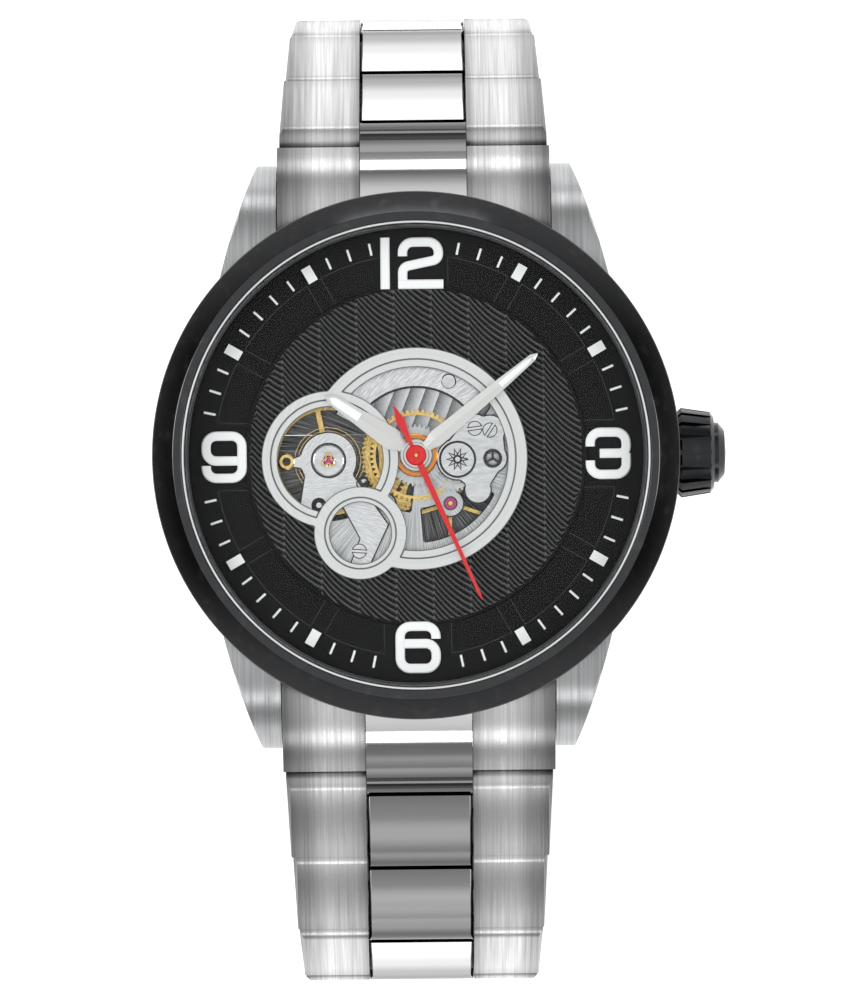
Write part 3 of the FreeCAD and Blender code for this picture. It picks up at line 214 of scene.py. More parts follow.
def makePolarGroup():
    # distance and angle about an upright axis, for turned and sunburst finishes
    tree, source, sink = groupNew("PolarPlace", [("Coordinates", vectorKind, None),
                                                 ("Centre", vectorKind, (0, 0, 0))],
                                  [("Polar", vectorKind), ("Radius", floatKind)])
    move = tree.nodes.new("ShaderNodeVectorMath")
    move.operation = "SUBTRACT"
    tree.links.new(source.outputs["Coordinates"], move.inputs[0])
    tree.links.new(source.outputs["Centre"], move.inputs[1])
    split = tree.nodes.new("ShaderNodeSeparateXYZ")
    tree.links.new(move.outputs[0], split.inputs[0])
    x2 = mathNode(tree, "MULTIPLY", split.outputs["X"], split.outputs["X"])
    y2 = mathNode(tree, "MULTIPLY", split.outputs["Y"], split.outputs["Y"])
    radius = mathNode(tree, "SQRT", mathNode(tree, "ADD", x2, y2))
    angle = mathNode(tree, "ARCTAN2", split.outputs["Y"], split.outputs["X"])
    combine = tree.nodes.new("ShaderNodeCombineXYZ")
    tree.links.new(radius, combine.inputs["X"])
    tree.links.new(angle, combine.inputs["Y"])
    tree.links.new(combine.outputs[0], sink.inputs["Polar"])
    tree.links.new(radius, sink.inputs["Radius"])
    return tree


def makeWearGroup():
    # fine random scuffs: sparse bright specks where two noises agree
    tree, source, sink = groupNew("FineScuffs", [("Coordinates", vectorKind, None),
                                                 ("Scale", floatKind, 900.0), ("Amount", floatKind, 0.3)],
                                  [("Mask", floatKind)])
    noise = tree.nodes.new("ShaderNodeTexNoise")
    noise.inputs["Detail"].default_value = 4.0
    tree.links.new(source.outputs["Coordinates"], noise.inputs["Vector"])
    tree.links.new(source.outputs["Scale"], noise.inputs["Scale"])
    sharp = mathNode(tree, "MULTIPLY", mathNode(tree, "SUBTRACT", noise.outputs["Fac"], 0.55, True), 4.0, True)
    tree.links.new(mathNode(tree, "MULTIPLY", sharp, source.outputs["Amount"], True), sink.inputs["Mask"])
    return tree


brushGroup, polarGroup, wearGroup = makeBrushGroup(), makePolarGroup(), makeWearGroup()


def addGroup(tree, group, coordinates, values):
    node = tree.nodes.new("ShaderNodeGroup")
    node.node_tree = group
    tree.links.new(coordinates, node.inputs["Coordinates"])
    for label, value in values.items():
        node.inputs[label].default_value = value
    return node


def ranged(tree, value, low, high, fromLow=0.3, fromHigh=0.7):
    node = tree.nodes.new("ShaderNodeMapRange")
    node.inputs["From Min"].default_value = fromLow
    node.inputs["From Max"].default_value = fromHigh
    node.inputs["To Min"].default_value = low
    node.inputs["To Max"].default_value = high
    tree.links.new(value, node.inputs["Value"])
    return node.outputs["Result"]


def blendColour(tree, factor, first, second):
    node = tree.nodes.new("ShaderNodeMix")
    node.data_type = "RGBA"
    tree.links.new(factor, node.inputs["Factor"])
    for socket, value in ((node.inputs[6], first), (node.inputs[7], second)):
        if isinstance(value, tuple):
            socket.default_value = value + (1.0,)
        else:
            tree.links.new(value, socket)
    return node.outputs[2]


def startMaterial(name, metallic=1.0, coat=0.0):
    material = bpy.data.materials.new(name)
    material.use_nodes = True
    tree = material.node_tree
    shader = tree.nodes["Principled BSDF"]
    shader.inputs["Metallic"].default_value = metallic
    shader.inputs["Coat Weight"].default_value = coat
    place = tree.nodes.new("ShaderNodeTexCoord").outputs["Object"]
    return material, tree, shader, place


def addBump(tree, shader, height, distance, strength=1.0):
    bump = tree.nodes.new("ShaderNodeBump")
    bump.inputs["Distance"].default_value = distance
    bump.inputs["Strength"].default_value = strength
    tree.links.new(height, bump.inputs["Height"])
    tree.links.new(bump.outputs["Normal"], shader.inputs["Normal"])


def brushedMaterial(name, dark, light, rough, stretch, depth=1.2e-6, metallic=1.0, coat=0.0):
    material, tree, shader, place = startMaterial(name, metallic, coat)
    grain = addGroup(tree, brushGroup, place, {"Stretch": stretch})
    scuffs = addGroup(tree, wearGroup, place, {"Scale": 1400.0, "Amount": 0.25})
    tone = mathNode(tree, "ADD", mathNode(tree, "MULTIPLY", grain.outputs["Grain"], 0.7),
                    mathNode(tree, "MULTIPLY", grain.outputs["Drift"], 0.3))
    colour = blendColour(tree, ranged(tree, tone, 0, 1), dark, light)
    tree.links.new(colour, shader.inputs["Base Color"])
    roughness = mathNode(tree, "ADD", ranged(tree, tone, rough[1], rough[0]),
                         mathNode(tree, "MULTIPLY", scuffs.outputs["Mask"], 0.15))
    tree.links.new(roughness, shader.inputs["Roughness"])
    addBump(tree, shader, grain.outputs["Grain"], depth)
    return material


def turnedMaterial(name, dark, light, rough, centre, rings=26000.0, spokes=0.0, depth=1.0e-6, metallic=1.0):
    # rings gives circular turning marks; spokes gives a sunburst
    material, tree, shader, place = startMaterial(name, metallic)
    polar = addGroup(tree, polarGroup, place, {"Centre": centre})
    grain = tree.nodes.new("ShaderNodeGroup")
    grain.node_tree = brushGroup
    tree.links.new(polar.outputs["Polar"], grain.inputs["Coordinates"])
    grain.inputs["Stretch"].default_value = (rings, spokes, 1.0)
    grain.inputs["Drift Scale"].default_value = 3.0
    tree.links.new(blendColour(tree, ranged(tree, grain.outputs["Grain"], 0, 1), dark, light),
                   shader.inputs["Base Color"])
    scuffs = addGroup(tree, wearGroup, place, {"Scale": 1100.0, "Amount": 0.3})
    roughness = mathNode(tree, "ADD", ranged(tree, grain.outputs["Grain"], rough[1], rough[0]),
                         mathNode(tree, "MULTIPLY", scuffs.outputs["Mask"], 0.15))
    tree.links.new(roughness, shader.inputs["Roughness"])
    addBump(tree, shader, grain.outputs["Grain"], depth)
    return material


def toneStops(tree, value, stops, curve="EASE"):
    # tone read off a curve through (position, tone) stops
    ramp = tree.nodes.new("ShaderNodeValToRGB")
    ramp.color_ramp.interpolation = curve
    tree.links.new(value, ramp.inputs[0])
    elements = ramp.color_ramp.elements
    for element, (position, tone) in zip(elements, (stops[0], stops[-1])):
        element.position, element.color = position, (tone, tone, tone, 1)
    for position, tone in stops[1:-1]:
        elements.new(position).color = (tone, tone, tone, 1)
    return ramp.outputs[0]


def makeLinkGroup():
    # a link's own place: share of the way from its first pin to its second, and share across its outer column
    inputs = [("Coordinates", vectorKind, None), ("Start", vectorKind, (0, 0, 0)),
              ("Along", vectorKind, (0, 1, 0)),
              ("Centre Half", floatKind, 0.004), ("Half Width", floatKind, 0.01)]
    outputs = [("Share", floatKind), ("Across", floatKind), ("Outside", floatKind)]
    tree, source, sink = groupNew("LinkPlace", inputs, outputs)
    move = tree.nodes.new("ShaderNodeVectorMath")
    move.operation = "SUBTRACT"
    tree.links.new(source.outputs["Coordinates"], move.inputs[0])
    tree.links.new(source.outputs["Start"], move.inputs[1])
    dot = tree.nodes.new("ShaderNodeVectorMath")
    dot.operation = "DOT_PRODUCT"
    tree.links.new(move.outputs[0], dot.inputs[0])
    tree.links.new(source.outputs["Along"], dot.inputs[1])
    tree.links.new(dot.outputs["Value"], sink.inputs["Share"])
    split = tree.nodes.new("ShaderNodeSeparateXYZ")
    tree.links.new(source.outputs["Coordinates"], split.inputs[0])
    side = mathNode(tree, "ABSOLUTE", split.outputs["X"])
    past = mathNode(tree, "SUBTRACT", side, source.outputs["Centre Half"])
    room = mathNode(tree, "SUBTRACT", source.outputs["Half Width"], source.outputs["Centre Half"])
    tree.links.new(mathNode(tree, "DIVIDE", past, room, True), sink.inputs["Across"])
    tree.links.new(mathNode(tree, "GREATER_THAN", past, 0.0), sink.inputs["Outside"])
    return tree


linkGroup = makeLinkGroup()


def braceletMaterial(name, settings, start, end):
    # brushed outer columns and a polished centre; each block is faintly domed, and its colour carries painted shade
    # that follows that dome, plus painted crevice shade between links
    material, tree, shader, place = startMaterial(name)
    run = np.array(end) - np.array(start)
    length = float(np.linalg.norm(run))
    link = addGroup(tree, linkGroup, place, {"Start": tuple(start), "Along": tuple(run / length ** 2),
                                             "Centre Half": settings["centreHalf"],
                                             "Half Width": settings["halfWidth"]})
    grain = addGroup(tree, brushGroup, place, {"Stretch": settings["stretch"], "Drift Scale": 120.0})
    scuffs = addGroup(tree, wearGroup, place, {"Scale": 700.0, "Amount": 0.2})
    share, across, outside = (link.outputs[label] for label in ("Share", "Across", "Outside"))
    grainTone = ranged(tree, grain.outputs["Grain"], *settings["grainTone"], 0.25, 0.75)
    # painted shade: the outer column darkens towards both its edges, most at the outer one, and towards each link's
    # far end
    column = mathNode(tree, "MULTIPLY", toneStops(tree, across, settings["acrossPaintedShade"]), grainTone)
    column = mathNode(tree, "MULTIPLY", column, toneStops(tree, share, settings["columnPaintedShade"]))
    # painted shade: the polished centre is light near its first pin and darkens towards its far end
    centre = toneStops(tree, share, settings["centrePaintedShade"])
    # painted shade: ambient occlusion darkens the colour in the crevices between links
    shade = tree.nodes.new("ShaderNodeAmbientOcclusion")
    shade.samples = 4
    shade.inputs["Distance"].default_value = settings["creviceShadeDistance"]
    tone = blendColour(tree, outside, centre, column)
    dark = ranged(tree, shade.outputs["AO"], 0.1, 1.0, 0.25, 0.85)
    tree.links.new(mathNode(tree, "MULTIPLY", tone, dark), shader.inputs["Base Color"])
    smoothRough = mathNode(tree, "ADD", mathNode(tree, "MULTIPLY", scuffs.outputs["Mask"], 0.1),
                           settings["polishedRough"])
    brushedRough = ranged(tree, grain.outputs["Grain"], *settings["brushedRough"])
    gap = mathNode(tree, "SUBTRACT", brushedRough, smoothRough)
    tree.links.new(mathNode(tree, "ADD", smoothRough, mathNode(tree, "MULTIPLY", outside, gap)),
                   shader.inputs["Roughness"])
    offset = mathNode(tree, "SUBTRACT", share, 0.5)
    dome = mathNode(tree, "MULTIPLY", mathNode(tree, "MULTIPLY", offset, offset), -settings["slope"] * length)
    brushing = mathNode(tree, "MULTIPLY", grain.outputs["Grain"], outside)
    lines = mathNode(tree, "MULTIPLY", brushing, settings["depth"])
    addBump(tree, shader, mathNode(tree, "ADD", dome, lines), 1.0)
    return material


def coatedMaterial(name, colour, edge, rough, coat=0.0, metallic=1.0, scale=900.0, specular=0.5):
    # a dark coating with faint cloudiness and fine scuffs
    material, tree, shader, place = startMaterial(name, metallic, coat)
    shader.inputs["Specular IOR Level"].default_value = specular
    scuffs = addGroup(tree, wearGroup, place, {"Scale": scale, "Amount": 0.35})
    tree.links.new(blendColour(tree, scuffs.outputs["Mask"], colour, edge), shader.inputs["Base Color"])
    roughness = mathNode(tree, "ADD", mathNode(tree, "MULTIPLY", scuffs.outputs["Mask"], 0.2), rough)
    tree.links.new(roughness, shader.inputs["Roughness"])
    addBump(tree, shader, scuffs.outputs["Mask"], 0.6e-6)
    return material


def stripedMaterial(name, dark, light, rough, spacing, across, depth=4e-6):
    # straight polished stripes on a satin ground
    material, tree, shader, place = startMaterial(name)
    split = tree.nodes.new("ShaderNodeSeparateXYZ")
    tree.links.new(place, split.inputs[0])
    slide = mathNode(tree, "ADD", mathNode(tree, "MULTIPLY", split.outputs["X"], across[0]),
                     mathNode(tree, "MULTIPLY", split.outputs["Y"], across[1]))
    phase = mathNode(tree, "FRACT", mathNode(tree, "DIVIDE", slide, spacing))
    grain = addGroup(tree, brushGroup, place, {"Stretch": (5000, 5000, 400)})
    tone = mathNode(tree, "ADD", mathNode(tree, "MULTIPLY", phase, 0.75),
                    mathNode(tree, "MULTIPLY", grain.outputs["Grain"], 0.25))
    tree.links.new(blendColour(tree, tone, dark, light), shader.inputs["Base Color"])
    tree.links.new(ranged(tree, tone, rough[0], rough[1], 0, 1), shader.inputs["Roughness"])
    addBump(tree, shader, phase, depth)
    return material


def crystalMaterial(name, tint):
    # clear glass: see-through except where its polish reflects
    material = bpy.data.materials.new(name)
    material.use_nodes = True
    tree = material.node_tree
    tree.nodes.remove(tree.nodes["Principled BSDF"])
    clear = tree.nodes.new("ShaderNodeBsdfTransparent")
    clear.inputs["Color"].default_value = tint + (1.0,)
    gloss = tree.nodes.new("ShaderNodeBsdfGlossy")
    gloss.inputs["Roughness"].default_value = 0.02
    fresnel = tree.nodes.new("ShaderNodeFresnel")
    fresnel.inputs["IOR"].default_value = 1.45
    place = tree.nodes.new("ShaderNodeTexCoord").outputs["Object"]
    smear = addGroup(tree, wearGroup, place, {"Scale": 120.0, "Amount": 0.02})
    amount = mathNode(tree, "MULTIPLY", mathNode(tree, "ADD", fresnel.outputs[0], smear.outputs["Mask"]), 0.1)
    mix = tree.nodes.new("ShaderNodeMixShader")
    tree.links.new(amount, mix.inputs[0])
    tree.links.new(clear.outputs[0], mix.inputs[1])
    tree.links.new(gloss.outputs[0], mix.inputs[2])
    tree.links.new(mix.outputs[0], tree.nodes["Material Output"].inputs["Surface"])
    return material


# finishes
# bracelet finish: the three tone-stop lists and the crevice reach set painted shade across and along each link and
# between links
braceletLook = {
    "stretch": (7000.0, 90.0, 90.0), "centreHalf": 4.28 * mm, "halfWidth": 10.8 * mm, "depth": 1.6e-6,
    "slope": 0.16, "creviceShadeDistance": 0.5 * mm, "grainTone": (0.62, 1.05), "brushedRough": (0.36, 0.26),
    "polishedRough": 0.08,
    "acrossPaintedShade": ((0.0, 0.34), (0.16, 0.62), (0.5, 0.72), (0.78, 0.4), (1.0, 0.2)),
    "columnPaintedShade": ((0.0, 1.0), (0.7, 1.0), (1.0, 0.75)),
    "centrePaintedShade": ((0.0, 0.72), (0.3, 0.78), (0.62, 0.55), (0.88, 0.24), (1.0, 0.1)),
}

caseSteel = brushedMaterial("caseSteel", (0.27, 0.275, 0.28), (0.47, 0.475, 0.48), (0.26, 0.36), (7000, 90, 90))


def braceletMaterials():
    # one material for each link, from the pin it hangs on to the next one, so that its painted shade follows that
    # link; the end links start under the bezel
    pins = {j["name"]: np.array(j["pos_m"], float) for j in frame["joints"] if j["name"].startswith("hinge_")}
    made = {}
    for side, count, last in (("12", 6, "clasp_cover_hinge"), ("6", 7, "clasp_outer_hinge")):
        stations = [pins["hinge_%s_%d" % (side, n + 1)] for n in range(count)]
        first = stations[0] * np.array([1, 0.78, 1])
        ending = [np.array(j["pos_m"], float) for j in frame["joints"] if j["name"] == last]
        stations = [first] + stations + ending
        names = ["end_link_" + side] + ["link_%s_%d" % (side, n + 1) for n in range(count)]
        for node, start, end in zip(names, stations, stations[1:]):
            made[node] = braceletMaterial(node + "Steel", braceletLook, start.tolist(), end.tolist())
    return made


claspSteel = brushedMaterial("claspSteel", (0.40, 0.41, 0.42), (0.74, 0.75, 0.76), (0.24, 0.38), (7000, 80, 80))
innerSteel = brushedMaterial("innerSteel", (0.38, 0.38, 0.39), (0.66, 0.66, 0.67), (0.25, 0.4), (400, 5000, 5000))
blackCoat = coatedMaterial("blackCoat", (0.055, 0.056, 0.058), (0.12, 0.12, 0.125), 0.16, 0.0)
crownCoat = coatedMaterial("crownCoat", (0.035, 0.036, 0.038), (0.10, 0.10, 0.105), 0.22, 0.0)
rubber = coatedMaterial("sealRubber", (0.015, 0.015, 0.015), (0.04, 0.04, 0.04), 0.6, 0.0, 0.0)
clearGlass = crystalMaterial("clearCrystal", (0.985, 0.99, 0.99))
dialPaint = coatedMaterial("dialPaint", (0.006, 0.006, 0.0065), (0.010, 0.010, 0.011), 0.45, 0.0, 0.0, 2500.0, 0.1)


def ridgeHighlightPaint(name, valley, crest, rough):
    # black lacquer with a painted highlight: its colour lightens along the piece's own ridge attribute, which marks
    # where light catches the crests
    material, tree, shader, place = startMaterial(name, 0.0)
    shader.inputs["Specular IOR Level"].default_value = 0.12
    mark = tree.nodes.new("ShaderNodeAttribute")
    mark.attribute_name = "ridge"
    scuffs = addGroup(tree, wearGroup, place, {"Scale": 2600.0, "Amount": 0.5})
    # painted highlight: the ridge attribute, broken up by scuffs, lightens the colour and smooths the surface
    tone = mathNode(tree, "MULTIPLY", mark.outputs["Fac"],
                    mathNode(tree, "SUBTRACT", 1.0, scuffs.outputs["Mask"]), True)
    tree.links.new(blendColour(tree, tone, valley, crest), shader.inputs["Base Color"])
    tree.links.new(ranged(tree, tone, rough[0], rough[1], 0, 1), shader.inputs["Roughness"])
    return material


# painted highlight: grey crests and edge dots on near-black lacquer for the engine-turned centre
guillocheHighlightPaint = ridgeHighlightPaint("guillocheHighlightPaint", (0.001, 0.001, 0.001), (0.13, 0.13, 0.13), (0.6, 0.4))
frameSatin = turnedMaterial("frameSatin", (0.66, 0.67, 0.665), (0.76, 0.77, 0.765), (0.3, 0.38), (0, 0, 0), 9000.0,
                            0.5)
whiteEnamel = coatedMaterial("whiteEnamel", (0.86, 0.87, 0.87), (0.78, 0.79, 0.79), 0.28, 0.3, 0.0)
handSteel = coatedMaterial("handSteel", (0.70, 0.695, 0.68), (0.60, 0.595, 0.58), 0.3, 0.0, 0.85, 1800.0)
redLacquer = coatedMaterial("redLacquer", (0.60, 0.006, 0.010), (0.64, 0.03, 0.03), 0.3, 0.1, 0.0)
plateSatin = turnedMaterial("plateSatin", (0.36, 0.37, 0.38), (0.80, 0.81, 0.82), (0.2, 0.4), (0, 0, 0), 260.0,
                            90.0, 2.5e-6)
# painted shade: the bridges deep under the mainplate get a near-black satin for the shade they sit in
recessShadeSatin = turnedMaterial("recessShadeSatin", (0.012, 0.012, 0.013), (0.30, 0.305, 0.31), (0.25, 0.4), (0, 0, 0), 260.0,
                           90.0, 2.5e-6)
cockSunray = turnedMaterial("cockSunray", (0.52, 0.53, 0.54), (0.92, 0.92, 0.93), (0.16, 0.3),
                            (-11.5 * mm, -3.0 * mm, 0), 900.0, 120.0, 2.5e-6)
polishedSteel = brushedMaterial("polishedSteel", (0.58, 0.59, 0.60), (0.82, 0.83, 0.84), (0.1, 0.2),
                                (900, 3000, 900))
gilt = turnedMaterial("gilt", (0.72, 0.47, 0.14), (0.95, 0.72, 0.30), (0.2, 0.34), (0, 0, 0), 9000.0, 4.0)
barrelStripes = stripedMaterial("barrelStripes", (0.06, 0.06, 0.065), (0.78, 0.79, 0.80), (0.2, 0.42), 1.15 * mm,
                                (0.93, -0.36))
rotorStripes = stripedMaterial("rotorStripes", (0.42, 0.42, 0.43), (0.78, 0.79, 0.80), (0.2, 0.4), 1.6 * mm,
                               (0.8, 0.6))
springAlloy = brushedMaterial("springAlloy", (0.50, 0.36, 0.16), (0.86, 0.66, 0.34), (0.2, 0.35), (3000, 3000, 300))
ringPlastic = coatedMaterial("ringPlastic", (0.02, 0.02, 0.021), (0.04, 0.04, 0.04), 0.45, 0.0, 0.0)


def rubyMaterial():
    material, tree, shader, place = startMaterial("ruby", 0.0, 0.6)
    scuffs = addGroup(tree, wearGroup, place, {"Scale": 2500.0, "Amount": 0.5})
    tree.links.new(blendColour(tree, scuffs.outputs["Mask"], (0.38, 0.012, 0.14), (0.65, 0.05, 0.22)),
                   shader.inputs["Base Color"])
    shader.inputs["Roughness"].default_value = 0.08
    shader.inputs["IOR"].default_value = 1.76
    return material


ruby = rubyMaterial()
print("stage 2: materials made")

finishes = {
    caseSteel: ["case_middle", "case_back"],
    claspSteel: ["clasp_cover", "clasp_outer_blade", "clasp_inner_blade"],
    innerSteel: ["spring_bars", "winding_stem", "crown_tube", "barrel_arbor"],
    blackCoat: ["bezel", "rehaut_ring"],
    crownCoat: ["crown"],
    rubber: ["case_seals"],
    clearGlass: ["crystal", "case_back_glass"],
    dialPaint: ["dial"],
    frameSatin: ["dial_frame"],
    whiteEnamel: ["dial_numerals", "dial_markers"],
    handSteel: ["hour_hand", "minute_hand"],
    redLacquer: ["seconds_hand"],
    plateSatin: ["mainplate", "minute_wheel", "hour_wheel"],
    recessShadeSatin: ["barrel_bridge", "train_bridge", "pallet_bridge"],
    cockSunray: ["balance_cock"],
    polishedSteel: ["setting_plate", "movement_screws", "pallet_fork", "rotor_bearing"],
    ruby: ["jewels"],
    gilt: ["third_wheel", "fourth_wheel", "centre_wheel", "escape_wheel", "balance_wheel", "cannon_pinion"],
    barrelStripes: ["barrel"],
    rotorStripes: ["rotor"],
    springAlloy: ["mainspring", "hairspring"],
    ringPlastic: ["movement_ring"],
}
finishes.update({material: [node] for node, material in braceletMaterials().items()})
for material, names in finishes.items():
    for name in names:
        data = nodes[name].data
        for index in range(len(data.materials)):
            data.materials[index] = material
        if not len(data.materials):
            data.materials.append(material)


# engine-turned dial centre
# painted highlight: the crest profile and the boost at the band edges set where each stripe is coloured lighter
guilloche = {
    "radius": 13.42 * mm, "bands": 9, "bandWidth": 2.97 * mm, "pitch": 0.50 * mm, "fall": 2.6 * mm,
    "height": 0.13 * mm, "base": 0.015 * mm, "shift": -0.2 * mm, "edgeHighlightBoost": 2.2,
    "rise": (0.0, 0.3, 0.7, 1.0, 0.35), "crest": (0.0, 0.06, 0.35, 1.0, 0.12),
    "columns": (0.0, 0.035, 0.16, 0.3, 0.45, 0.62, 0.8, 0.965, 1.0),
    "windows": [(0.0, -0.27, 8.5), (-6.85, -0.27, 5.1), (-4.5, -6.15, 3.35)],
}


def makeGuilloche(g):
    # each band: x runs across it, y = row height minus a fall that is steep at the left and eases to the right;
    # the surface rises and drops across each stripe's width, and the ridge attribute marks its crest for a painted
    # highlight
    reach = g["bands"] * g["bandWidth"] / 2
    rowHeights = np.arange(-reach - g["fall"], reach + g["fall"], g["pitch"])
    rise, crest = np.array(g["rise"]), np.array(g["crest"])
    share = np.linspace(0, 1, len(rise), endpoint=False)
    v = (rowHeights[:, None] + share[None, :] * g["pitch"]).ravel()
    saw, ridge = np.tile(rise, len(rowHeights)), np.tile(crest, len(rowHeights))
    u = np.array(g["columns"])
    parts, marks = [], []
    for band in range(g["bands"]):
        x = -reach + g["shift"] + (band + u) * g["bandWidth"]
        drop = g["fall"] * (0.55 * u + 0.45 * (1 - (1 - u) ** 2))
        y = v[:, None] - drop[None, :] + g["fall"] / 2
        edge = np.clip(np.minimum(u, 1 - u) / u[1], 0, 1)
        x = np.broadcast_to(x, y.shape)
        limit = np.sqrt(np.clip(g["radius"] ** 2 - x ** 2, 0, None))
        z = dialTop + g["base"] + g["height"] * saw[:, None] * (0.35 + 0.65 * edge[None, :])
        z = np.where(np.abs(y) > limit, dialTop + g["base"], z)
        y = np.clip(y, -limit, limit)
        faces = gridFaces(len(v), len(u))
        points = np.stack([x, y, z], axis=-1).reshape(-1, 3)
        centre = points[faces].mean(axis=1)
        keep = np.ptp(points[faces][:, :, 1], axis=1) > 1e-7
        for wx, wy, wr in g["windows"]:
            keep &= np.hypot(centre[:, 0] - wx * mm, centre[:, 1] - wy * mm) > wr * mm
        parts.append((points, faces[keep]))
        # painted highlight: the ridge attribute follows each stripe's crest and is boosted in dots along the band
        # edges
        marks.append((ridge[:, None] * (1 + g["edgeHighlightBoost"] * (edge[None, :] < 0.5))).ravel())
    points, faces = joined(parts)
    used = np.unique(faces)
    renumber = np.zeros(len(points), int)
    renumber[used] = np.arange(len(used))
    piece = makePiece("dialGuilloche", points[used], renumber[faces], guillocheHighlightPaint, "case", "dial_black", False)
    tone = piece.data.attributes.new("ridge", "FLOAT", "POINT")
    tone.data.foreach_set("value", np.concatenate(marks)[used].astype(np.float32))
    return piece


makeGuilloche(guilloche)

stepRing = {"inner": 13.3, "outer": 13.62, "rise": 0.16}


def makeStepRing(s):
    # a low rounded rim between the engine-turned centre and the hour track
    angle = np.linspace(0, np.pi, 9)
    middle, half = (s["inner"] + s["outer"]) / 2, (s["outer"] - s["inner"]) / 2
    crest = np.stack([middle + half * np.cos(angle), s["rise"] * np.sin(angle) ** 0.6], axis=1)
    profile = np.vstack([crest, [[s["inner"], -0.05], [s["outer"], -0.05]]]) * mm
    profile[:, 1] += dialTop
    points, faces = lathePoints(profile, 240)
    return makePiece("dialStepRing", points, faces, dialPaint, "case", "dial_black")


makeStepRing(stepRing)
print("stage 3: dial made")


# applied numerals
numerals = {"width": 3.6, "height": 4.1, "stroke": 0.74, "rise": 0.34, "bevel": 0.09, "centre": 15.3,
            "bend": 0.82}


def digitPaths(kind, n):
    # the middle line of each stroke, as corners and the radius at each inner corner
    w, h = (n["width"] - n["stroke"]) / 2, (n["height"] - n["stroke"]) / 2
    end, r = n["stroke"] / 2, n["bend"]
    stop = w - end + n["bevel"] / 2
    return {
        "1": [([(0, h + end), (0, -h - end)], [])],
        "2": [([(-w, h - 1.12), (-w, h), (w, h), (w, 0.28), (-w, -0.3), (-w, -h + end - n["bevel"] / 2)],
               [r, r, 0.55, 0.55]),
              ([(-w - end, -h), (w + end, -h)], [])],
        "3": [([(-w, h - 1.12), (-w, h), (w, h), (w, 0.0), (-w + 0.75, 0.0)], [r, r, 0.5]),
              ([(w, 0.0), (w, -h), (-w, -h), (-w, -h + 1.12)], [r, r])],
        "6": [([(w, h - 1.0), (w, h), (-w, h), (-w, -h), (w, -h), (w, 0.3), (-stop, 0.3)], [r, r, r, r, r])],
        "9": [([(-w, -h + 1.0), (-w, -h), (w, -h), (w, h), (-w, h), (-w, -0.3), (stop, -0.3)], [r, r, r, r, r])],
    }[kind]


def makeNumerals(n):
    parts = []
    places = [("1", -2.32, n["centre"]), ("2", 0.51, n["centre"]), ("3", n["centre"], 0.0),
              ("6", 0.0, -n["centre"]), ("9", -n["centre"], 0.0)]
    for kind, x, y in places:
        for order, (corners, radii) in enumerate(digitPaths(kind, n)):
            path = (roundedPath(corners, radii) + np.array([x, y])) * mm
            lift = 0.004 * mm * order
            parts.append(ribbon(path, n["stroke"] * mm, dialTop, dialTop + n["rise"] * mm - lift,
                                n["bevel"] * mm))
    points, faces = joined(parts)
    piece = makePiece("appliedNumerals", points, faces, whiteEnamel, "case", "white_applied", False)
    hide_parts("dial_numerals")
    return piece


makeNumerals(numerals)

# hands: faceted blades with a ridge, each with a pale insert near its tip
hands = {
    "hourHandBlade": {"body": "hours", "node": "hour_hand", "angle": 145.87, "hub": (0.88, 1.3),
                      "along": (0.9, 1.45, 2.1, 2.5, 8.2, 8.7), "half": (0.44, 0.5, 0.85, 0.88, 0.43, 0.03),
                      "insert": (5.4, 8.3, 0.34)},
    "minuteHandBlade": {"body": "minutes", "node": "minute_hand", "angle": 39.4, "hub": (0.54, 1.05),
                        "along": (0.7, 1.3, 1.9, 2.3, 8.9, 12.1, 12.63),
                        "half": (0.42, 0.44, 0.64, 0.67, 0.46, 0.3, 0.03),
                        "insert": (8.7, 12.1, 0.22)},
}


def turnedAbout(points, degrees):
    a = math.radians(degrees)
    turn = np.array([[math.cos(a), math.sin(a), 0], [-math.sin(a), math.cos(a), 0], [0, 0, 1]])
    return points @ turn


def bladePoints(along, half, low, edge, ridge):
    # a bar of six lines at each station along it: two feet, two edges, the ridge, and a middle line underneath
    along, half = np.array(along)[:, None], np.array(half)[:, None]
    across = np.array([[-1.0, -1.0, 0.0, 1.0, 1.0, 0.0]])
    height = np.array([[low, edge, ridge, edge, low, low]])
    x = np.broadcast_to(along, (len(along), 6))
    points = np.stack([x, across * half, np.broadcast_to(height, x.shape)], axis=-1).reshape(-1, 3)
    faces = gridFaces(len(along), 6, False, True)[:, ::-1]
    end = np.array([[0, 1, 2, 5], [5, 2, 3, 4]])
    return points, np.vstack([faces, end, end[:, ::-1] + (len(along) - 1) * 6])


def makeHand(name, h):
    low, high = (v * 1000 for v in (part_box(h["node"])[0][2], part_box(h["node"])[1][2]))
    blade = bladePoints(h["along"], h["half"], low, high - 0.09, high)
    ringProfile = [(h["hub"][0], low), (h["hub"][1], low), (h["hub"][1], high - 0.08), (h["hub"][1] - 0.08, high),
                   (h["hub"][0], high)]
    hub = lathePoints(ringProfile, 64)
    points, faces = joined([blade, hub])
    piece = makePiece(name, turnedAbout(points, h["angle"]) * mm, faces, handSteel, h["body"], "hand_steel", False)
    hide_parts(h["node"])
    start, end, width = h["insert"]
    station = np.linspace(start, end, 14)
    share = (end - station) / (end - start)
    half = width * np.clip(share * 6, 0.04, 1) * (0.85 + 0.15 * share)
    points, faces = bladePoints(station, half, high - 0.12, high + 0.0, high + 0.03)
    makePiece(name.replace("Blade", "Insert"), turnedAbout(points, h["angle"]) * mm, faces, whiteEnamel, h["body"],
              "white_applied", False)


for pieceName, settings in hands.items():
    makeHand(pieceName, settings)

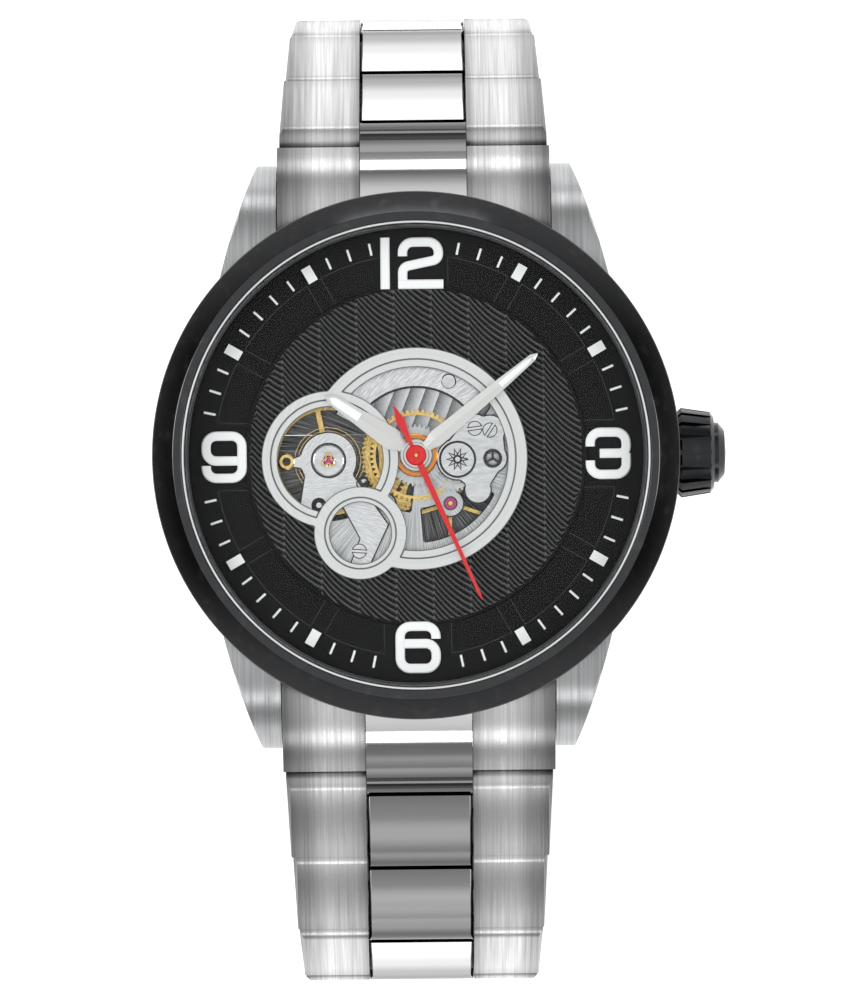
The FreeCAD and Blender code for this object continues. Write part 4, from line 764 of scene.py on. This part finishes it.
sweep = {"angle": -66.0, "needle": ((-0.3, 0.27), (0.8, 0.25), (12.2, 0.12), (12.65, 0.02)),
         "tail": ((0.3, 0.16), (-1.4, 0.16), (-3.0, 0.36), (-4.35, 0.03)), "hub": (0.14, 0.82), "thick": 0.15}


def makeSweepHand(s):
    low, high = (v * 1000 for v in (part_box("seconds_hand")[0][2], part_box("seconds_hand")[1][2]))
    flat = low + s["thick"]
    along, half = zip(*s["needle"])
    needle = bladePoints(along, half, low, flat - 0.03, flat)
    along, half = zip(*[(-a, w) for a, w in s["tail"]])
    points, faces = bladePoints(along, half, low, flat - 0.03, flat)
    tail = (turnedAbout(points, 180), faces)
    inner, outer = s["hub"]
    rim = [(inner, low), (outer, low), (outer, high - 0.1), (outer - 0.1, high), (inner + 0.08, high),
           (inner, high - 0.08)]
    points, faces = joined([needle, tail, lathePoints(rim, 64)])
    points = turnedAbout(points, s["angle"]) * mm
    piece = makePiece("sweepHand", points, faces, redLacquer, "seconds", "seconds_red", False)
    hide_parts("seconds_hand")


makeSweepHand(sweep)
print("stage 4: numerals and hands made")

# bezel: a turned ring with softened corners
bezelShape = {"corners": ((18.4, 8.44), (20.72, 8.44), (21.0, 8.72), (21.0, 10.02), (19.3, 11.53), (18.68, 11.55),
                          (18.62, 11.4), (18.62, 10.1), (18.4, 10.1)),
              "soften": (0.04, 0.1, 0.1, 0.28, 0.14, 0.04, 0.04, 0.04, 0.04), "steps": 288}


def makeBezel(b):
    # the profile's corners are rounded, then carried round the axis
    corners = list(b["corners"])
    start = (np.array(corners[-1]) + np.array(corners[0])) / 2
    path = roundedPath([start] + corners + [start], list(b["soften"]), 6)[:-1]
    points, faces = lathePoints(path * mm, b["steps"])
    piece = makePiece("bezelRing", points, faces, blackCoat, "case", "black_coating")
    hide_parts("bezel")
    # painted highlight: the crystal gasket is coloured pale to stand in for the glint along the crystal's edge
    gasket = np.array([(18.43, 10.3), (18.6, 10.3), (18.6, 11.42), (18.55, 11.5), (18.48, 11.5), (18.43, 11.42)])
    points, faces = lathePoints(gasket * mm, b["steps"])
    makePiece("crystalGasket", points, faces, paleGlintGasket, "case", "seal_rubber")


# painted highlight: a pale finish standing in for the crystal edge's glint
paleGlintGasket = coatedMaterial("paleGlintGasket", (0.62, 0.63, 0.64), (0.45, 0.46, 0.46), 0.25, 0.0, 0.0)
makeBezel(bezelShape)

# painted shade: thin dark strips along the edges of the movement's plates and the dial's rings, standing in for the
# shade at those edges
# painted shade: near-black and grey finishes for the edge strips; the near-black one is also used for the dark
# rims, bushes, plate marks and the crescent's outline
edgeShadeAndDarkFinish = coatedMaterial("edgeShadeAndDarkParts", (0.02, 0.02, 0.021), (0.09, 0.09, 0.09), 0.45, 0.0, 0.0)
greyEdgeShade = coatedMaterial("ringEdgeShade", (0.12, 0.12, 0.12), (0.2, 0.2, 0.2), 0.4, 0.0, 0.0)
lineRise, lineSink = 0.012, 0.02
# name: (node, level in mm, width in mm, shade finish, slot)
edgeShadeLines = {
    "cockEdge": ("balance_cock", 7.15, 0.1, edgeShadeAndDarkFinish, "plate_metal"),
    "settingPlateEdge": ("setting_plate", 7.66, 0.1, edgeShadeAndDarkFinish, "plate_metal"),
    "settingDiscEdge": ("setting_plate", 7.78, 0.08, edgeShadeAndDarkFinish, "plate_metal"),
    "plateEdge": ("mainplate", 6.8, 0.1, edgeShadeAndDarkFinish, "plate_metal"),
    "frameStepEdge": ("dial_frame", 8.45, 0.07, greyEdgeShade, "frame_silver"),
    "frameTopEdge": ("dial_frame", 8.65, 0.06, greyEdgeShade, "frame_silver"),
    "screwEdge": ("movement_screws", 7.97, 0.07, edgeShadeAndDarkFinish, "polished_steel"),
    "plateScrewEdge": ("movement_screws", 7.46, 0.07, edgeShadeAndDarkFinish, "polished_steel"),
    "dialTrackEdge": ("dial", 8.2, 0.05, edgeShadeAndDarkFinish, "dial_black"),
}


def levelEdges(node, level):
    # merges the node's corners, takes its flat faces at that height, and keeps the sides used by only one of them
    mesh = nodes[node].data
    mesh.calc_loop_triangles()
    places = np.zeros(len(mesh.vertices) * 3, np.float32)
    mesh.vertices.foreach_get("co", places)
    corners = np.zeros(len(mesh.loop_triangles) * 3, np.int32)
    mesh.loop_triangles.foreach_get("vertices", corners)
    places = np.round(places.reshape(-1, 3).astype(float) / mm, 3)
    merged, number = np.unique(places, axis=0, return_inverse=True)
    triangles = number.ravel()[corners].reshape(-1, 3)
    flat = np.all(np.abs(merged[triangles][:, :, 2] - level) < 0.004, axis=1)
    triangles = triangles[flat]
    sides = np.vstack([triangles[:, [0, 1]], triangles[:, [1, 2]], triangles[:, [2, 0]]])
    third = np.concatenate([triangles[:, 2], triangles[:, 0], triangles[:, 1]])
    key = np.sort(sides, axis=1)
    _, first, count = np.unique(key, axis=0, return_index=True, return_counts=True)
    once = first[count == 1]
    return merged[sides[once]][:, :, :2], merged[third[once]][:, :2]


def makeEdgeShadeLine(name, node, level, width, shadeFinish, slotName):
    # each side becomes a thin strip of painted edge shade laid inwards on the face, raised a hair, with a closed
    # underside
    ends, inside = levelEdges(node, level)
    run = ends[:, 1] - ends[:, 0]
    length = np.linalg.norm(run, axis=1)
    good = length > 1e-4
    ends, inside, run, length = ends[good], inside[good], run[good], length[good]
    run = run / length[:, None]
    normal = np.stack([-run[:, 1], run[:, 0]], axis=1)
    towards = np.sign(((inside - ends[:, 0]) * normal).sum(1))
    normal = normal * towards[:, None]
    a, b = ends[:, 0], ends[:, 1]
    shift = normal * width
    flat = np.stack([a, b, b + shift, a + shift], axis=1)
    high = np.full(flat.shape[:2] + (1,), level + lineRise)
    low = np.full(flat.shape[:2] + (1,), level - lineSink)
    points = np.concatenate([np.concatenate([flat, high], axis=-1), np.concatenate([flat, low], axis=-1)], axis=1)
    order = np.array([[0, 1, 2, 3], [7, 6, 5, 4], [0, 4, 5, 1], [1, 5, 6, 2], [2, 6, 7, 3], [3, 7, 4, 0]])
    flipped = towards < 0
    faces = order[None] + (np.arange(len(flat)) * 8)[:, None, None]
    faces[flipped] = faces[flipped][:, :, ::-1]
    makePiece(name, points.reshape(-1, 3) * mm, faces.reshape(-1, 4), shadeFinish, "case", slotName, False)


for pieceName, settings in edgeShadeLines.items():
    makeEdgeShadeLine(pieceName, *settings)

# shock setting at the balance's centre: black-rimmed cup, gold three-lobed spring and purple stone
shock = {"at": (-7.0, -0.34), "level": 7.15, "rim": (1.26, 1.42), "cup": 1.24, "stone": 0.36, "reach": 0.42,
         "swell": 0.2}


def makeShockSetting(k):
    x, y = k["at"]
    base = k["level"]
    centre = (x * mm, y * mm)
    inner, outer = k["rim"]
    rim = np.array([(inner, base - 0.1), (outer, base - 0.1), (outer, base + 0.02), (inner + 0.08, base + 0.06),
                    (inner, base + 0.02)]) * mm
    makePiece("shockRim", *lathePoints(rim, 96, centre), edgeShadeAndDarkFinish, "case", "plate_metal")
    cup = np.array([(0.25, base - 0.12), (k["cup"], base - 0.12), (k["cup"], base + 0.01),
                    (k["cup"] - 0.1, base + 0.03), (0.62, base - 0.02), (0.25, base - 0.04)]) * mm
    makePiece("shockCup", *lathePoints(cup, 96, centre), polishedSteel, "case", "polished_steel")
    # the spring is a closed wire whose radius swells three times a turn
    angle = np.linspace(0, 2 * np.pi, 97)
    radius = k["reach"] + k["swell"] * np.cos(3 * (angle - np.pi / 2))
    path = np.stack([x + radius * np.cos(angle), y + radius * np.sin(angle)], axis=1) * mm
    points, faces = ribbon(path, 0.13 * mm, (base - 0.04) * mm, (base + 0.1) * mm, 0.02 * mm)
    makePiece("shockSpring", points, faces, gilt, "case", "gilt_brass", False)
    share = np.linspace(0, 1, 9)
    dome = np.stack([np.append(k["stone"] * np.cos(share * np.pi / 2), 0.0),
                     np.append(base + 0.1 * np.sin(share * np.pi / 2), base - 0.05)], axis=1)
    dome[-2:, 0] = 0.001
    stone = np.vstack([[k["stone"], base - 0.05], dome]) * mm
    makePiece("shockStone", *lathePoints(stone, 48, centre), ruby, "case", "ruby")


makeShockSetting(shock)

# ten-pointed star and three-armed eye on the setting plate
marks = {"star": (3.3, -0.35, 0.86, 0.4, 10, 7.78), "eye": (6.1, -0.3, 0.6, 7.66)}


def makePlateMarks(m):
    x, y, outer, inner, count, level = m["star"]
    angle = np.arange(2 * count + 1) * np.pi / count
    radius = np.where(np.arange(2 * count + 1) % 2 == 0, outer, inner)
    path = np.stack([x + radius * np.cos(angle), y + radius * np.sin(angle)], axis=1) * mm
    parts = [ribbon(path, 0.1 * mm, (level - 0.02) * mm, (level + 0.02) * mm, 0.01 * mm)]
    x, y, reach, level = m["eye"]
    turns = np.linspace(0, 2 * np.pi, 41)
    loop = np.stack([x + reach * np.cos(turns), y + reach * np.sin(turns)], axis=1) * mm
    parts.append(ribbon(loop, 0.16 * mm, (level - 0.1) * mm, (level + 0.02) * mm, 0.02 * mm))
    for step in range(3):
        a = np.pi / 2 + step * 2 * np.pi / 3
        arm = np.array([(x, y), (x + reach * math.cos(a), y + reach * math.sin(a))]) * mm
        parts.append(ribbon(arm, 0.16 * mm, (level - 0.1) * mm, (level + 0.015) * mm, 0.02 * mm))
    points, faces = joined(parts)
    makePiece("platePattern", points, faces, edgeShadeAndDarkFinish, "case", "plate_metal", False)


makePlateMarks(marks)

# small turned parts seen in the windows: name, place, (radius, height) corners in order, finish and slot
smallParts = {
    "dialWasher": ((0, 0), ((1.36, 7.86), (1.72, 7.86), (1.72, 7.98), (1.64, 8.04), (1.36, 8.04)), "copper",
                   "gilt_brass"),
    "regulatorRing": ((-10.35, -0.4), ((0.34, 7.0), (0.66, 7.0), (0.66, 7.24), (0.56, 7.3), (0.34, 7.3)), "gilt",
                      "gilt_brass"),
    "cockJewelRim": ((-4.3, -2.2), ((0.4, 6.7), (0.52, 6.7), (0.52, 7.2), (0.4, 7.24)), "line", "plate_metal"),
    "darkBush": ((-7.8, -3.9), ((0.22, 6.9), (0.6, 6.9), (0.6, 7.22), (0.5, 7.28), (0.22, 7.2)), "line",
                 "plate_metal"),
    "postRing": ((4.75, -2.8), ((0.3, 7.3), (0.58, 7.3), (0.58, 7.56), (0.5, 7.62), (0.3, 7.56)), "line",
                 "plate_metal"),
    "crescentScrew": ((2.65, 5.88), ((0.001, 6.9), (0.6, 6.9), (0.6, 7.24), (0.52, 7.3), (0.001, 7.26)), "steel",
                      "polished_steel"),
}
partFinish = {"gilt": gilt, "line": edgeShadeAndDarkFinish, "steel": polishedSteel,
              "copper": coatedMaterial("copper", (0.78, 0.30, 0.08), (0.60, 0.22, 0.06), 0.25)}
for pieceName, (place, corners, finish, slotName) in smallParts.items():
    points, faces = lathePoints(np.array(corners) * mm, 48, (place[0] * mm, place[1] * mm))
    makePiece(pieceName, points, faces, partFinish[finish], "case", slotName, False)

# toothed rim above the hub and the crescent bridge over the barrel
wheelRim = {"inner": 3.24, "root": 3.44, "tip": 3.7, "teeth": 54, "low": 6.83, "high": 6.95}


def makeWheelRim(w):
    # the outer wall steps between root and tip radius four times a tooth; every column has the same four corners
    steps = w["teeth"] * 4
    angle = np.arange(steps) * 2 * np.pi / steps
    outer = np.where(np.arange(steps) % 4 < 2, w["tip"], w["root"])
    radius = np.stack([np.full(steps, w["inner"]), outer, outer, np.full(steps, w["inner"])], axis=1)
    height = np.array([w["low"], w["low"], w["high"], w["high"]])
    points = np.stack([radius * np.cos(angle)[:, None], radius * np.sin(angle)[:, None],
                       np.broadcast_to(height, radius.shape)], axis=-1).reshape(-1, 3) * mm
    faces = gridFaces(steps, 4, True, True)[:, ::-1]
    makePiece("centreWheelRim", points, faces, gilt, "minutes", "gilt_brass", False)


makeWheelRim(wheelRim)

crescent = {"radius": 6.35, "width": 1.7, "from": 38.0, "to": 152.0, "level": (6.84, 7.12), "rim": 0.12}


def makeCrescent(c):
    # an arc-shaped bar, laid on a slightly wider dark bar of painted shade that shows as its outline
    turn = np.radians(np.linspace(c["from"], c["to"], 61))
    path = np.stack([np.cos(turn), np.sin(turn)], axis=1) * c["radius"] * mm
    low, high = c["level"]
    makePiece("crescentBridge", *ribbon(path, c["width"] * mm, low * mm, high * mm, 0.05 * mm), cockSunray, "case",
              "plate_metal", False)
    wide = (c["width"] + 2 * c["rim"]) * mm
    shadeOutline = ribbon(path, wide, (low - 0.06) * mm, (low + 0.06) * mm, 0.01 * mm)
    makePiece("crescentShadeOutline", *shadeOutline, edgeShadeAndDarkFinish, "case", "plate_metal", False)


makeCrescent(crescent)
print("stage 5: bezel and movement details made")

# floor, light and camera
cameraView = {"distance": 0.63, "widthShown": 67.35 * mm, "aim": (0.67 * mm, -3.41 * mm), "aspect": 996 / 850,
              "roll": -0.6}


def makeFloor():
    size, drop = 1.6, 0.0006
    corner = np.array([(-1, -1), (1, -1), (1, 1), (-1, 1)]) * size / 2
    mesh = bpy.data.meshes.new("floor")
    mesh.from_pydata([(x, y, floorHeight - drop) for x, y in corner], [], [(0, 1, 2, 3)])
    floor = bpy.data.objects.new("floor", mesh)
    scene.collection.objects.link(floor)
    material = bpy.data.materials.new("floorPaper")
    material.use_nodes = True
    shader = material.node_tree.nodes["Principled BSDF"]
    shader.inputs["Base Color"].default_value = (0.93, 0.93, 0.93, 1)
    shader.inputs["Roughness"].default_value = 0.8
    shader.inputs["Emission Color"].default_value = (1, 1, 1, 1)
    shader.inputs["Emission Strength"].default_value = 0.35
    mesh.materials.append(material)


def makeLamp(name, place, size, energy, target=(0, 0, 0)):
    data = bpy.data.lights.new(name, "AREA")
    data.shape = "RECTANGLE"
    data.size, data.size_y = size
    data.energy = energy
    lamp = bpy.data.objects.new(name, data)
    lamp.location = place
    lamp.rotation_euler = (Vector(target) - Vector(place)).to_track_quat("-Z", "Y").to_euler()
    scene.collection.objects.link(lamp)


def makeWorld():
    # bright overhead and beyond the bracelet's two ends, dark towards the two sides
    world = bpy.data.worlds.new("studio")
    scene.world = world
    world.use_nodes = True
    tree = world.node_tree
    back = tree.nodes["Background"]
    place = tree.nodes.new("ShaderNodeTexCoord")
    split = tree.nodes.new("ShaderNodeSeparateXYZ")
    tree.links.new(place.outputs["Generated"], split.inputs[0])
    ramps = [toneStops(tree, split.outputs["Z"], stops, "LINEAR") for stops in
             (((0.0, 0.7), (0.14, 0.66), (0.24, 0.3), (0.45, 0.2), (0.75, 0.66), (1.0, 0.95)),
              ((0.0, 0.25), (0.12, 0.04), (0.3, 0.05), (0.5, 0.2), (0.75, 0.7), (1.0, 0.95)))]
    ends = ranged(tree, mathNode(tree, "ABSOLUTE", split.outputs["Y"]), 0, 1, 0.45, 0.85)
    mix = tree.nodes.new("ShaderNodeMix")
    mix.data_type = "RGBA"
    tree.links.new(ends, mix.inputs["Factor"])
    tree.links.new(ramps[1], mix.inputs[6])
    tree.links.new(ramps[0], mix.inputs[7])
    tree.links.new(mix.outputs[2], back.inputs["Color"])


def makeCamera():
    # straight above the dial, framed at the height of the bezel's top
    data = bpy.data.cameras.new("camera")
    camera = bpy.data.objects.new("camera", data)
    scene.collection.objects.link(camera)
    scene.camera = camera
    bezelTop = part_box("bezel")[1][2]
    data.sensor_fit = "VERTICAL"
    data.sensor_height = 36.0
    data.lens = data.sensor_height * cameraView["distance"] / (cameraView["widthShown"] * cameraView["aspect"])
    camera.location = (*cameraView["aim"], bezelTop + cameraView["distance"])
    camera.rotation_euler = (0, 0, math.radians(cameraView["roll"]))
    data.clip_start, data.clip_end = 0.01, 10


makeFloor()
makeWorld()
lamps = {
    "left": {"place": (-0.55, 0.1, 0.5), "size": (0.25, 0.6), "energy": 3.4},
    "right": {"place": (0.58, 0.0, 0.45), "size": (0.22, 0.6), "energy": 2.6},
    "back": {"place": (0.0, 0.8, 0.22), "size": (0.5, 0.2), "energy": 0.8},
    "front": {"place": (0.0, -0.7, 0.5), "size": (0.5, 0.2), "energy": 0.8},
}
for lampName, lamp in lamps.items():
    makeLamp(lampName, lamp["place"], lamp["size"], lamp["energy"])
scene.view_settings.view_transform = "Standard"
makeCamera()
print("stage 6: floor, light and camera made")
